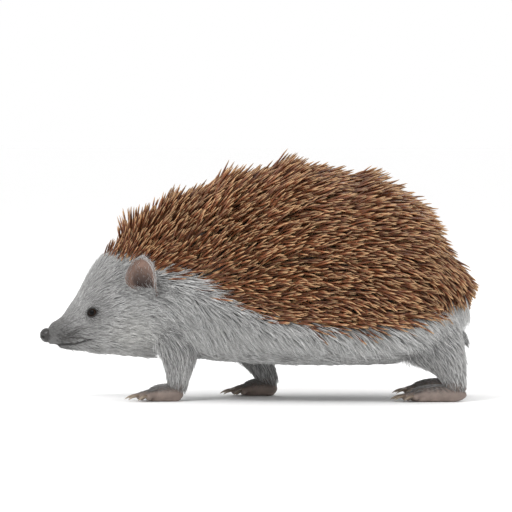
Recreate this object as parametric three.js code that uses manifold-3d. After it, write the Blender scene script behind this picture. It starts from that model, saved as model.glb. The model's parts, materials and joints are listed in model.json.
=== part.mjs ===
// A life-size hedgehog, standing with its left forefoot a step ahead of the right one, as a still
// model. Millimetres, +Z up, the head towards -X and the animal's left side towards -Y. The origin is
// on the floor, under the middle of the body's box. The outer faces follow the tips of the coat.
//
// One smooth body, from muzzle to rump, is lofted from a few outlines and then parted by thin cuts
// into spiny mantle, head, lower jaw, neck and trunk. The ears, eyes, nose, tail, legs, feet and claws
// are shapes of their own, with a thin gap to what they meet.

import * as THREE from "three";
import { mergeVertices } from "three/addons/utils/BufferGeometryUtils.js";
import Module from "manifold-3d";

const wasm = await Module();
wasm.setup();

// ---------------------------------------------------------------- driving dimensions

const LENGTH = 250; // nose tip to the rearmost quill tips
const HEIGHT = 139; // floor to the quill tips on the back
const WIDTH = 126; // over the quill tips at the widest place
const GAP = 0.3; // between pieces that meet

const BODY_STATIONS = 30;
const BODY_SIDES = 28;

// ---------------------------------------------------------------- outlines of the body

// Each outline is a list of [place, size]. A place is a share of LENGTH, from -0.5 at the nose tip to
// 0.5 at the rump. A height is a share of HEIGHT, and a half width is a share of WIDTH / 2.
const CREST = [
  [-0.488, 0.292], [-0.456, 0.337], [-0.424, 0.412], [-0.392, 0.522], [-0.364, 0.608], [-0.34, 0.672],
  [-0.316, 0.726], [-0.284, 0.78], [-0.24, 0.822], [-0.19, 0.87], [-0.11, 0.928], [-0.04, 0.967],
  [0.08, 1.0], [0.2, 0.972], [0.28, 0.935], [0.34, 0.885], [0.4, 0.815], [0.44, 0.74], [0.5, 0.64],
];
const BELLY = [
  [-0.488, 0.23], [-0.456, 0.2], [-0.4, 0.187], [-0.3, 0.18], [-0.2, 0.168], [-0.08, 0.146],
  [0.1, 0.133], [0.26, 0.135], [0.36, 0.16], [0.5, 0.26],
];
const HALF_WIDTH = [
  [-0.488, 0.066], [-0.456, 0.112], [-0.424, 0.163], [-0.392, 0.228], [-0.36, 0.305], [-0.32, 0.392],
  [-0.25, 0.532], [-0.17, 0.7], [-0.08, 0.845], [0.08, 0.97], [0.22, 1.0], [0.36, 0.94],
  [0.5, 0.8],
];
const WIDEST_LINE = [
  [-0.488, 0.252], [-0.4, 0.275], [-0.32, 0.33], [-0.24, 0.385], [-0.1, 0.43], [0.1, 0.446],
  [0.3, 0.446], [0.5, 0.46],
];
// Where the quills end and the fur begins, seen from the side.
const QUILL_LINE = [
  [-0.42, 0.6], [-0.34, 0.576], [-0.288, 0.55], [-0.19, 0.487], [-0.1, 0.394], [0, 0.32],
  [0.19, 0.281], [0.32, 0.302], [0.41, 0.353], [0.56, 0.43],
];

const MUZZLE_START = -0.488 * LENGTH; // where the nose pad takes over
const MUZZLE_ROUND = 4; // length over which the muzzle closes behind the nose pad
const RUMP_ROUND = 0.2 * LENGTH; // length over which the rump closes
const UPPER_POWER = 2.1; // a superellipse: 2 is round, and more is squarer
const LOWER_POWER = 2.5;

// ---------------------------------------------------------------- features

const NOSE = { length: 9, width: 9, height: 8.4, height_above_floor: 36, nostril: 1.05 };
const EYE = { radius: 3.1, from_nose: 30.5, height: 49.5, sunk: 1.7 };
const MOUTH = { from_nose: 8, corner_from_nose: 28, height: 30.4, corner_height: 34 };
const EAR = { height: 28, width: 21, thickness: 2.6, cup: 5.5, from_nose: 62, base_height: 57 };
const TAIL = { length: 27, root: 5, tip: 1.7, root_height: 46, tip_height: 29, from_rump: 5.5 };

// The side of the body: -1 is the animal's left, 1 its right. A forefoot's place is its middle.
const FORE_LEGS = [
  { name: "left_fore", side: -1, foot_x: -54, root_x: -49 },
  { name: "right_fore", side: 1, foot_x: -1, root_x: -16 },
];
const HIND_LEGS = [
  { name: "left_hind", side: -1, foot_x: 100, root_x: 92 },
  { name: "right_hind", side: 1, foot_x: 103, root_x: 93 },
];
const FORE = { track: 26, ankle_back: 6, ankle_height: 13, root_height: 42, root: 17, ankle: 8.6 };
const HIND = { track: 31, ankle_back: 10, ankle_height: 15, root_height: 46, root: 22, ankle: 9 };

// A foot is a sole with five toes. Lengths and angles run from the inner toe to the outer one.
const FORE_FOOT = {
  sole: [10.5, 9, 6.2], toe_radius: 2.7, toe_start: 4, toe_reach: [10.5, 13.5, 14.5, 13.5, 10.5],
  toe_angles: [-44, -21, 0, 21, 44], claw_length: 7.2, claw_radius: 1.25,
};
const HIND_FOOT = {
  sole: [16.5, 8.6, 6.4], toe_radius: 2.7, toe_start: 9, toe_reach: [14.5, 18, 19.5, 18, 14],
  toe_angles: [-33, -16, 0, 16, 33], claw_length: 7.2, claw_radius: 1.25,
};
const SOLE_DIP = 1.1; // how far soles and toes are trimmed to a flat on the floor

// ---------------------------------------------------------------- materials

const material = (color, roughness) => new THREE.MeshStandardMaterial({ color, roughness });
const MATERIALS = {
  quills: material(0x6a462f, 0.55),
  fur: material(0x9b9b9a, 0.9),
  ear_skin: material(0x7a6256, 0.75),
  foot_skin: material(0x80766e, 0.8),
  nose_skin: material(0x1e1b1b, 0.3),
  eye: material(0x0c0908, 0.08),
  claw: material(0xa3927c, 0.4),
};

// ---------------------------------------------------------------- tools

const noseTip = -LENGTH / 2;
const mix = (a, b, t) => a + (b - a) * t;
const radians = (degrees) => (degrees * Math.PI) / 180;

// A smooth line through [place, size] points that doesn't overshoot them: a cubic between each two,
// with the slope at a point the harmonic mean of its neighbours' slopes, or 0 at a peak.
function outline(points) {
  const slopes = points.slice(1).map(([x, y], i) => (y - points[i][1]) / (x - points[i][0]));
  const tangents = points.map((_, i) => {
    const before = slopes[Math.max(i - 1, 0)];
    const after = slopes[Math.min(i, slopes.length - 1)];
    return before * after > 0 ? (2 * before * after) / (before + after) : 0;
  });
  return (x) => {
    const last = points.length - 2;
    const i = Math.min(Math.max(points.findIndex(([place]) => place > x) - 1, 0), last);
    const k = x >= points[last + 1][0] ? last : i;
    const width = points[k + 1][0] - points[k][0];
    const t = Math.min(Math.max((x - points[k][0]) / width, 0), 1);
    const rise = t * t * (3 - 2 * t);
    return (
      mix(points[k][1], points[k + 1][1], rise) +
      width * t * (1 - t) * ((1 - t) * tangents[k] - t * tangents[k + 1])
    );
  };
}

// A closed mesh from rings of points, with one pole at each end. Ring points turn from +Z towards +Y
// as the rings go towards +X.
function ringsGeometry(startPole, rings, endPole) {
  const sides = rings[0].length;
  const positions = [startPole, ...rings.flat(), endPole].flatMap((p) => [p.x, p.y, p.z]);
  const at = (ring, side) => 1 + ring * sides + (side % sides);
  const index = [];
  const end = 1 + rings.length * sides;
  for (let side = 0; side < sides; side++) {
    index.push(0, at(0, side), at(0, side + 1));
    index.push(end, at(rings.length - 1, side + 1), at(rings.length - 1, side));
    for (let ring = 0; ring + 1 < rings.length; ring++) {
      const corners = [at(ring, side), at(ring + 1, side), at(ring + 1, side + 1), at(ring, side + 1)];
      index.push(corners[0], corners[1], corners[2], corners[0], corners[2], corners[3]);
    }
  }
  return new THREE.BufferGeometry()
    .setAttribute("position", new THREE.Float32BufferAttribute(positions, 3))
    .setIndex(index);
}

// A geometry as a solid for cutting and joining.
function solid(geometry) {
  const bare = geometry.clone();
  bare.deleteAttribute("normal");
  bare.deleteAttribute("uv");
  const merged = mergeVertices(bare, 1e-4);
  const made = new wasm.Manifold(
    new wasm.Mesh({
      numProp: 3,
      vertProperties: merged.attributes.position.array,
      triVerts: new Uint32Array(merged.index.array),
    }),
  );
  if (made.volume() <= 0) throw new Error("a shape is inside out");
  return made;
}

function geometryOf(shape) {
  const mesh = shape.getMesh();
  const positions = new Float32Array(mesh.numVert * 3);
  for (let i = 0; i < mesh.numVert; i++) {
    positions.set(mesh.vertProperties.subarray(i * mesh.numProp, i * mesh.numProp + 3), i * 3);
  }
  const geometry = new THREE.BufferGeometry()
    .setAttribute("position", new THREE.BufferAttribute(positions, 3))
    .setIndex(new THREE.BufferAttribute(mesh.triVerts, 1));
  geometry.computeVertexNormals();
  return geometry;
}

// The largest piece of a cut shape, without slivers.
function mainPiece(shape) {
  return shape.decompose().sort((a, b) => b.volume() - a.volume())[0];
}

// A sphere of radius 1 whose points are moved by shape(point), as a solid.
function moulded(columns, rows, shape) {
  const geometry = new THREE.SphereGeometry(1, columns, rows);
  const place = geometry.attributes.position;
  const point = new THREE.Vector3();
  for (let i = 0; i < place.count; i++) {
    point.fromBufferAttribute(place, i);
    shape(point);
    place.setXYZ(i, point.x, point.y, point.z);
  }
  return solid(geometry);
}

function ellipsoid(centre, halfSizes, columns = 12, rows = 8) {
  return moulded(columns, rows, (p) => p.multiply(halfSizes).add(centre));
}

// A limb with blunt round ends along a curve through points. Its radius runs from start to end.
function limb(points, start, end, rings, sides) {
  const path = new THREE.CatmullRomCurve3(points);
  const frames = path.computeFrenetFrames(rings + 1, false);
  const turned = Array.from({ length: rings }, (_, i) => {
    const t = (i + 1) / (rings + 1);
    const blunt = Math.sqrt(1 - Math.abs(2 * t - 1) ** 6);
    const radius = mix(start, end, t) * blunt;
    const middle = path.getPointAt(t);
    return Array.from({ length: sides }, (_, k) => {
      const angle = (2 * Math.PI * k) / sides;
      return middle
        .clone()
        .addScaledVector(frames.normals[i + 1], radius * Math.cos(angle))
        .addScaledVector(frames.binormals[i + 1], -radius * Math.sin(angle));
    });
  });
  return solid(ringsGeometry(path.getPoint(0), turned, path.getPoint(1)));
}

// A slab seen from the side as a polygon of [x, z] points, as wide as the body and more.
function sideSlab(points) {
  const shape = new THREE.Shape(points.map(([x, z]) => new THREE.Vector2(x, z)));
  const geometry = new THREE.ExtrudeGeometry(shape, { depth: 2 * WIDTH, bevelEnabled: false });
  geometry.rotateX(Math.PI / 2).translate(0, WIDTH, 0);
  return solid(geometry);
}

// ---------------------------------------------------------------- the body

const crest = outline(CREST);
const belly = outline(BELLY);
const halfWidth = outline(HALF_WIDTH);
const widestLine = outline(WIDEST_LINE);
const quillLine = outline(QUILL_LINE);

// How far the body has closed towards its end: 1 in the middle, 0 at the poles, as an ellipse.
function closing(x) {
  const fromMuzzle = (MUZZLE_START + MUZZLE_ROUND - x) / MUZZLE_ROUND;
  const fromRump = (x - (LENGTH / 2 - RUMP_ROUND)) / RUMP_ROUND;
  const along = Math.max(fromMuzzle, fromRump, 0);
  return Math.sqrt(Math.max(1 - along * along, 0));
}

// The body's cross-section at x: its widest height, half width, and reach up and down from there.
function section(x, grown = 0) {
  const share = x / LENGTH;
  const middle = widestLine(share) * HEIGHT;
  const open = closing(x);
  return {
    middle,
    half: (halfWidth(share) * WIDTH * open) / 2 + grown,
    up: (crest(share) * HEIGHT - middle) * open + grown,
    down: (middle - belly(share) * HEIGHT) * open + grown,
  };
}

// How far from the middle plane the body's side is at x and z.
function sideOfBody(x, z) {
  const { middle, half, up, down } = section(x);
  const [reach, power] = z > middle ? [up, UPPER_POWER] : [down, LOWER_POWER];
  return half * Math.max(1 - Math.abs((z - middle) / reach) ** power, 0) ** (1 / power);
}

const powered = (value, power) => Math.sign(value) * Math.abs(value) ** power;

function bodySolid(grown = 0) {
  const start = MUZZLE_START - grown;
  const end = LENGTH / 2 + grown;
  const rings = Array.from({ length: BODY_STATIONS }, (_, i) => {
    const t = (i + 1) / (BODY_STATIONS + 1);
    const x = mix(start, end, (1 - Math.cos(Math.PI * t)) / 2);
    const { middle, half, up, down } = section(x, grown);
    return Array.from({ length: BODY_SIDES }, (_, k) => {
      const angle = (2 * Math.PI * k) / BODY_SIDES;
      const rise = Math.cos(angle);
      const power = 2 / (rise > 0 ? UPPER_POWER : LOWER_POWER);
      const height = powered(rise, power) * (rise > 0 ? up : down);
      return new THREE.Vector3(x, powered(Math.sin(angle), power) * half, middle + height);
    });
  });
  const pole = (x) => new THREE.Vector3(x, 0, section(x).middle);
  return solid(ringsGeometry(pole(start), rings, pole(end)));
}

// Everything above the quill line, raised by lift, as a slab.
function aboveQuillLine(lift) {
  const steps = 26;
  const line = Array.from({ length: steps + 1 }, (_, i) => {
    const share = mix(-0.42, 0.56, i / steps);
    return [share * LENGTH, quillLine(share) * HEIGHT + lift];
  });
  const top = 1.2 * HEIGHT;
  return sideSlab([...line, [0.56 * LENGTH, top], [-0.42 * LENGTH, top]]);
}

// Everything behind a slanting line that is at topX high up and at bottomX on the floor.
function behind(topX, bottomX, shift) {
  const back = LENGTH;
  return sideSlab([
    [bottomX + shift, -10], [back, -10], [back, 0.7 * HEIGHT], [topX + shift, 0.7 * HEIGHT],
  ]);
}

// ---------------------------------------------------------------- head features

function noseSolid(grown = 0) {
  const centre = new THREE.Vector3(noseTip + NOSE.length / 2, 0, NOSE.height_above_floor);
  const half = new THREE.Vector3(NOSE.length, NOSE.width, NOSE.height).multiplyScalar(0.5);
  const pad = moulded(14, 8, (p) => {
    const front = Math.max(-p.x, 0);
    p.multiply(half.clone().addScalar(grown));
    p.z *= 1 + 0.1 * front; // the pad is a little deeper in front
    p.add(centre);
  });
  if (grown) return pad;
  const nostrils = [-1, 1].map((side) => {
    const outer = new THREE.Vector3(noseTip + 2.4, side * 3.6, NOSE.height_above_floor - 0.4);
    const inner = new THREE.Vector3(noseTip + 0.7, side * 1.5, NOSE.height_above_floor + 0.2);
    return limb([outer, inner], NOSE.nostril, NOSE.nostril * 0.7, 2, 7);
  });
  return nostrils.reduce((shape, nostril) => shape.subtract(nostril), pad);
}

function eyeCentre(side) {
  const x = noseTip + EYE.from_nose;
  const surface = sideOfBody(x, EYE.height);
  return new THREE.Vector3(x + 0.6, side * (surface - EYE.sunk), EYE.height - 0.4);
}

function eyeSolid(side, grown = 0) {
  const radius = EYE.radius + grown;
  return ellipsoid(eyeCentre(side), new THREE.Vector3(radius, radius, radius));
}

// The ear is a flattened ball bent to a cup: narrow at its base, round at its tip. In its own frame
// X is across, Y along, from 0 at the base, and Z towards the hollow side.
function earSolid(side, grown = 0) {
  const shape = moulded(12, 8, (p) => {
    const along = (p.y + 1) / 2;
    const narrowing = mix(0.62, 1, Math.sin((Math.min(along / 0.6, 1) * Math.PI) / 2));
    const across = p.x * (EAR.width / 2 + grown) * narrowing;
    const bend = (p.x * narrowing) ** 2;
    p.set(
      across,
      p.y * (EAR.height / 2 + grown) + EAR.height / 2 - 3,
      p.z * (EAR.thickness / 2 + grown) + EAR.cup * (bend - 0.35) * mix(1.25, 0.55, along),
    );
  });
  const x = noseTip + EAR.from_nose;
  const turn = new THREE.Matrix4()
    .makeTranslation(x, side * (sideOfBody(x, EAR.base_height) - 2), EAR.base_height)
    .multiply(new THREE.Matrix4().makeRotationZ(side * radians(32)))
    .multiply(new THREE.Matrix4().makeRotationX(side * radians(-16)))
    .multiply(new THREE.Matrix4().makeRotationY(radians(7)))
    .multiply(new THREE.Matrix4().makeRotationX(radians(90)))
    .multiply(new THREE.Matrix4().makeRotationY(side > 0 ? Math.PI : 0));
  return shape.transform(turn.elements);
}

function tailSolid() {
  const tip = new THREE.Vector3(LENGTH / 2 - TAIL.from_rump, 0, TAIL.tip_height);
  const root = new THREE.Vector3(tip.x - 0.6 * TAIL.length, 0, TAIL.root_height);
  const middle = root.clone().lerp(tip, 0.55).add(new THREE.Vector3(1.2, 0, 1));
  return limb([root, middle, tip], TAIL.root, TAIL.tip, 7, 10);
}

// ---------------------------------------------------------------- legs and feet

const floorSlab = solid(
  new THREE.BoxGeometry(3 * LENGTH, 3 * WIDTH, 40).translate(0, 0, -20),
);

// The leg from inside the trunk down to the ankle, which lies behind the middle of the foot.
function legSolid({ side, foot_x, root_x }, { track, ankle_back, ankle_height, root_height, root, ankle }) {
  const top = new THREE.Vector3(root_x, side * (track + 1), root_height);
  const bottom = new THREE.Vector3(foot_x + ankle_back, side * track, ankle_height - 7);
  const bend = top.clone().lerp(bottom, 0.5).add(new THREE.Vector3(2, side * 1.5, 0));
  return limb([top, bend, bottom], root, ankle, 7, 14);
}

// The toes of a foot: where each starts and ends, and the way it points.
function toes({ side, foot_x }, track, { toe_start, toe_reach, toe_angles, toe_radius, sole }) {
  return toe_reach.map((reach, i) => {
    const angle = radians(toe_angles[i]) * side;
    const direction = new THREE.Vector3(-Math.cos(angle), Math.sin(angle), 0);
    const across = (sole[1] - toe_radius) * Math.sin(angle);
    const start = new THREE.Vector3(foot_x - toe_start, side * track + across, toe_radius);
    const end = start.clone().addScaledVector(direction, reach - toe_start + toe_radius);
    return { start, end: end.setZ(toe_radius - SOLE_DIP / 2), direction };
  });
}

function footSolid(place, track, foot) {
  const centre = new THREE.Vector3(place.foot_x, place.side * track, foot.sole[2] - SOLE_DIP);
  const sole = ellipsoid(centre, new THREE.Vector3(...foot.sole), 12, 7);
  const withToes = toes(place, track, foot).reduce((shape, { start, end }) => {
    const knuckle = start.clone().lerp(end, 0.55).setZ(start.z + 0.7);
    return shape.add(limb([start, knuckle, end], foot.toe_radius, 0.86 * foot.toe_radius, 3, 6));
  }, sole);
  return withToes.subtract(floorSlab);
}

// A claw curves forward and down from its toe, and stops just above the floor.
function clawSolid({ end, direction }, { claw_length, claw_radius, toe_radius }) {
  const root = end.clone().addScaledVector(direction, -2.2).setZ(toe_radius + 0.9);
  const bend = root.clone().addScaledVector(direction, 0.55 * claw_length).setZ(toe_radius + 0.5);
  const tip = root.clone().addScaledVector(direction, claw_length).setZ(0.9);
  return limb([root, bend, tip], claw_radius, 0.4 * claw_radius, 3, 6);
}

// ---------------------------------------------------------------- the animal

const hedgehog = new THREE.Group();

function addNode(name, shape, slot) {
  const mesh = new THREE.Mesh(geometryOf(mainPiece(shape)), MATERIALS[slot]);
  mesh.name = name;
  hedgehog.add(mesh);
}

const body = bodySolid();
const bodyGrown = bodySolid(GAP);
const sides = { left: -1, right: 1 };

const headPockets = [noseSolid(GAP)];
for (const side of Object.values(sides)) {
  headPockets.push(eyeSolid(side, GAP), earSolid(side, GAP));
}
const pocketed = headPockets.reduce((shape, pocket) => shape.subtract(pocket), body);

const mantle = pocketed.intersect(aboveQuillLine(0));
const furred = pocketed.subtract(aboveQuillLine(-GAP));
const neckFront = [-0.2 * LENGTH, -0.28 * LENGTH];
const neckBack = [-0.13 * LENGTH, -0.215 * LENGTH];
const skull = furred.subtract(behind(...neckFront, -GAP));
const neck = furred.intersect(behind(...neckFront, 0)).subtract(behind(...neckBack, -GAP));
const trunk = furred.intersect(behind(...neckBack, 0));

// The lower jaw is parted from the head along the mouth and down behind its corner.
function jawSlab(grown) {
  const corner = noseTip + MOUTH.corner_from_nose;
  return sideSlab([
    [noseTip + MOUTH.from_nose - 8, MOUTH.height - 0.8 + grown],
    [noseTip + MOUTH.from_nose, MOUTH.height + grown],
    [corner + grown, MOUTH.corner_height + grown],
    [corner + 9 + grown, 10], [noseTip, 10],
  ]);
}

addNode("mantle", mantle, "quills");
addNode("head", skull.subtract(jawSlab(GAP)), "fur");
addNode("lower_jaw", skull.intersect(jawSlab(0)), "fur");
addNode("neck", neck, "fur");
addNode("trunk", trunk, "fur");
addNode("tail", tailSolid().subtract(bodyGrown), "fur");
addNode("nose", noseSolid(), "nose_skin");
for (const [name, side] of Object.entries(sides)) {
  addNode(`${name}_eye`, eyeSolid(side), "eye");
  addNode(`${name}_ear`, earSolid(side), "ear_skin");
}

for (const [legs, limbSizes, foot] of [[FORE_LEGS, FORE, FORE_FOOT], [HIND_LEGS, HIND, HIND_FOOT]]) {
  for (const place of legs) {
    const claws = toes(place, limbSizes.track, foot).map((toe) => clawSolid(toe, foot));
    const clawRoom = toes(place, limbSizes.track, foot).map((toe) =>
      clawSolid(toe, { ...foot, claw_radius: foot.claw_radius + GAP }),
    );
    const wholeFoot = footSolid(place, limbSizes.track, foot).subtract(bodyGrown);
    const leg = legSolid(place, limbSizes).subtract(bodyGrown);
    const ankleTop = limbSizes.ankle_height - 3;
    const above = (z) => solid(
      new THREE.BoxGeometry(3 * LENGTH, 3 * WIDTH, 100).translate(0, 0, z + 50),
    );
    const joined = wholeFoot.add(leg.subtract(floorSlab));
    const footPart = joined.subtract(above(ankleTop - GAP));
    addNode(`${place.name}_leg`, joined.intersect(above(ankleTop)), "fur");
    addNode(
      `${place.name}_foot`,
      clawRoom.reduce((shape, room) => shape.subtract(room), footPart),
      "foot_skin",
    );
    claws.forEach((claw, i) => addNode(`${place.name}_claw_${i + 1}`, claw, "claw"));
  }
}

export default hedgehog;
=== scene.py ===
"""A life-size hedgehog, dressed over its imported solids.

One skin replaces the solids of flesh and lies inside them by the depth of the coat. Quills, fur and
whiskers are meshes rooted on it, and eyes and claws are pieces of their own. All sizes are in metres,
the head is towards -X and the animal's left side towards -Y.
"""
import json
import math
from collections import namedtuple

import bpy
import numpy as np
from bpy.props import FloatProperty, FloatVectorProperty, IntProperty, PointerProperty
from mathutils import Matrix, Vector


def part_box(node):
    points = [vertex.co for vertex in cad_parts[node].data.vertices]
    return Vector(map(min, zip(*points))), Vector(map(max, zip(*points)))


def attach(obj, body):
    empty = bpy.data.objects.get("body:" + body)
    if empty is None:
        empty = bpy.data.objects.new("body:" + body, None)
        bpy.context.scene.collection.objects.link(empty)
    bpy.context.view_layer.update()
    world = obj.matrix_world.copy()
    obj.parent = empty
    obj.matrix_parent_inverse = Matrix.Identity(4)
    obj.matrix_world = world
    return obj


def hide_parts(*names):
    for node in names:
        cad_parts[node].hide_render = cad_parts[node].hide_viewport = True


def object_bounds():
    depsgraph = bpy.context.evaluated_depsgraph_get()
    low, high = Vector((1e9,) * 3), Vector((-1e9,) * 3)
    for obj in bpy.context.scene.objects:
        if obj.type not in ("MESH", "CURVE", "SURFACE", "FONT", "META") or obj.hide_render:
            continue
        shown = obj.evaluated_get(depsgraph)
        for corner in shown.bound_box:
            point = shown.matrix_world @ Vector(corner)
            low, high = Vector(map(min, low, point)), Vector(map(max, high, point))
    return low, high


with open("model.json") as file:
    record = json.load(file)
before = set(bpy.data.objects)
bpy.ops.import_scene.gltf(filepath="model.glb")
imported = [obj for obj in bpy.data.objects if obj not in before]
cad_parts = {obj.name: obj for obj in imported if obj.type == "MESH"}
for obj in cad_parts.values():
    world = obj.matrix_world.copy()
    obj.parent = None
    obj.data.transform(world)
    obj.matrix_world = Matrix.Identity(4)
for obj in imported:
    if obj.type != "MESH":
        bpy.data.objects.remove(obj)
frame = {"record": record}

bl_info = {
    "name": "Hedgehog",
    "version": (1, 0, 0),
    "blender": (4, 5, 0),
    "location": "View3D > Sidebar > Hedgehog",
    "description": "Dresses a hedgehog's solids with skin, quills, fur, eyes, claws and whiskers",
    "category": "Add Mesh",
}

# -------- measures taken from the frame


def box(node):
    """A node's lowest and highest corners, as arrays."""
    return [np.array(corner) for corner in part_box(node)]


CAD_LOW, CAD_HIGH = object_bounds()
LENGTH, WIDTH, HEIGHT = CAD_HIGH - CAD_LOW
MM = LENGTH / 250  # a millimetre of an animal of the frame's length
SIDES = {"left": -1, "right": 1}
SOLES = {mount["name"]: np.array(mount["pos_m"]) for mount in frame["record"]["mounts"]}
EYES = {side: sum(box(f"{side}_eye")) / 2 for side in SIDES}
EYE_RADIUS = np.ptp(box("left_eye"), axis=0)[0] / 2
NOSE_LOW, NOSE_HIGH = box("nose")
NOSE_MIDDLE, NOSE_HALF = (NOSE_LOW + NOSE_HIGH) / 2, (NOSE_HIGH - NOSE_LOW) / 2

# -------- outlines of the body

# Pairs of [place, size]: the place is a share of LENGTH from the middle, and a height or half width
# is a share of HEIGHT or of half of WIDTH, out to the tips of the coat.
CREST = [
    (-0.488, 0.292), (-0.456, 0.337), (-0.424, 0.412), (-0.392, 0.522), (-0.364, 0.608), (-0.34, 0.672),
    (-0.316, 0.726), (-0.284, 0.78), (-0.24, 0.822), (-0.19, 0.87), (-0.11, 0.928), (-0.04, 0.967),
    (0.08, 1.0), (0.2, 0.972), (0.28, 0.935), (0.34, 0.885), (0.4, 0.815), (0.44, 0.74), (0.5, 0.64),
]
BELLY = [
    (-0.488, 0.23), (-0.456, 0.2), (-0.4, 0.187), (-0.3, 0.18), (-0.2, 0.168), (-0.08, 0.146),
    (0.1, 0.133), (0.26, 0.135), (0.36, 0.16), (0.5, 0.26),
]
HALF_WIDTH = [
    (-0.488, 0.066), (-0.456, 0.112), (-0.424, 0.163), (-0.392, 0.228), (-0.36, 0.305), (-0.32, 0.392),
    (-0.25, 0.532), (-0.17, 0.7), (-0.08, 0.845), (0.08, 0.97), (0.22, 1.0), (0.36, 0.94), (0.5, 0.8),
]
WIDEST_LINE = [
    (-0.488, 0.252), (-0.4, 0.275), (-0.32, 0.33), (-0.24, 0.385), (-0.1, 0.43), (0.1, 0.446),
    (0.3, 0.446), (0.5, 0.46),
]
QUILL_LINE = [
    (-0.42, 0.6), (-0.34, 0.576), (-0.288, 0.55), (-0.19, 0.487), (-0.1, 0.394), (0, 0.32),
    (0.19, 0.281), (0.32, 0.302), (0.41, 0.353), (0.56, 0.43),
]
MUZZLE_START = -0.488 * LENGTH
MUZZLE_ROUND = 4 * MM
RUMP_ROUND = 0.2 * LENGTH
UPPER_POWER, LOWER_POWER = 2.1, 2.5  # of the superellipse: 2 is round, and more is squarer

# The coat's depth from skin to tips, in millimetres, along the body: quills, and fur on the sides.
QUILL_DEPTH = [(-0.4, 6), (-0.36, 10), (-0.32, 12.5), (-0.24, 14), (0.2, 14.5), (0.38, 15), (0.5, 9.5)]
FUR_DEPTH = [
    (-0.49, 0.4), (-0.45, 0.7), (-0.42, 1.0), (-0.39, 1.5), (-0.36, 3.0), (-0.32, 5.0), (-0.26, 7.0),
    (-0.18, 8.0), (0.3, 8.5), (0.5, 9.0),
]
# Lengths of single hairs, in millimetres, along the body.
FUR_LENGTH = [
    (-0.49, 1.3), (-0.46, 1.9), (-0.42, 3.0), (-0.39, 4.6), (-0.36, 7.0), (-0.32, 9.5), (-0.26, 12.5),
    (-0.18, 15.0), (0.0, 17.0), (0.3, 18.0), (0.5, 15.0),
]
# How far behind its root a quill's tip lies, by where the root is, both in millimetres.
TIP_BACK = [(-82, 1), (-70, 2), (-60, 8), (-45, 11.5), (-15, 15), (30, 19.5), (85, 20.5), (110, 14)]
# Where along the back the quills' tips stand higher, as shares of LENGTH, and each ridge's width.
RIDGES = (-0.29, -0.196, -0.052, 0.084, 0.28, 0.396)
RIDGE_WIDTH = 0.024

# -------- measures of head, ears and legs

# Swellings and hollows of the head, in millimetres: height, place and radius. A place is measured
# from the right eye's middle, or from the frame's origin, and is mirrored to the left side.
EYE_FORMS = [
    (0.8, (1, 0.5, 6.2), 4.4),  # brow
    (0.7, (0, 0, 0), 6.0),  # round the eye
    (1.7, (13, 4, -9), 9),  # cheek
    (-0.9, (-7.5, -2, 1), 4.8),  # in front of the eye
]
MUZZLE_FORMS = [
    (1.5, (-110.5, 6.5, 34.5), 4.4),  # whisker pad
    (0.6, (-116, 3, 33), 3),  # lip under the nose
    (-0.8, (-112, 2, 46), 4.4),  # bridge of the nose
]
MOUTH_FRONT, MOUTH_CORNER = -121.5, -93  # where the line between the lips starts and ends

EAR_WIDTH, EAR_HEIGHT, EAR_MIDDLE = 20.6, 27.6, 11  # and how far its middle is from its base
# Rings of the ear's inside: its rolled rim, the groove in it and the fold along its bowl, each with
# its place from the middle out and its width, as shares of the ear's half size.
EAR_RINGS = ((0.94, 0.07), (0.8, 0.07), (0.62, 0.09))

# Sizes of a leg and its foot in millimetres: how far the ankle lies behind the sole's middle, how far
# the root lies inwards, how far the leg bends back, its radii, and the sole's half sizes.
Limb = namedtuple("Limb", "ankle_back root_in bend_back root wrist sole toe_angles")
FORE = Limb(6, 5, 3.5, 13.0, 5.4, (10, 7.8, 5.4), (-44, -21, 0, 21, 44))
HIND = Limb(10, 4, 9, 18.0, 6.2, (16, 7.2, 5.4), (-33, -16, 0, 16, 33))
ROOT_HEIGHT, ANKLE_HEIGHT = 42, 5
LEGS = {
    # side of the body, kind of limb, and how far its root lies behind its foot, in millimetres
    "left_fore": (-1, FORE, 5),
    "right_fore": (1, FORE, -15),
    "left_hind": (-1, HIND, -11),
    "right_hind": (1, HIND, -13),
}
# The pads under a foot: place along and across as shares of the sole's half sizes, and radius.
PADS = [(-0.55, -0.45, 3.2), (-0.72, 0.05, 3.3), (-0.5, 0.5, 3.1), (0.45, -0.38, 3.0), (0.5, 0.4, 3.0)]

# The shared unwrap that the coat's roots are placed on: for each row of charts its bottom and top,
# and each chart's left and right edges.
CHART_ROWS = {
    (0.01, 0.66): {"body": (0.01, 0.99)},
    (0.69, 0.83): {
        "left_fore": (0.01, 0.2), "right_fore": (0.22, 0.41), "left_hind": (0.43, 0.62),
        "right_hind": (0.64, 0.83), "tail": (0.85, 0.99),
    },
    (0.85, 0.98): {
        "left_ear": (0.01, 0.14), "right_ear": (0.16, 0.29), "left_fore_foot": (0.31, 0.43),
        "right_fore_foot": (0.45, 0.57), "left_hind_foot": (0.59, 0.7), "right_hind_foot": (0.72, 0.83),
        "left_lid": (0.85, 0.91), "right_lid": (0.93, 0.99),
    },
}
CHARTS = {
    name: (left, bottom, right, top)
    for (bottom, top), row in CHART_ROWS.items()
    for name, (left, right) in row.items()
}
TUFT_PATCH = 0.003  # the side of one tuft's patch on that unwrap

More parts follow.
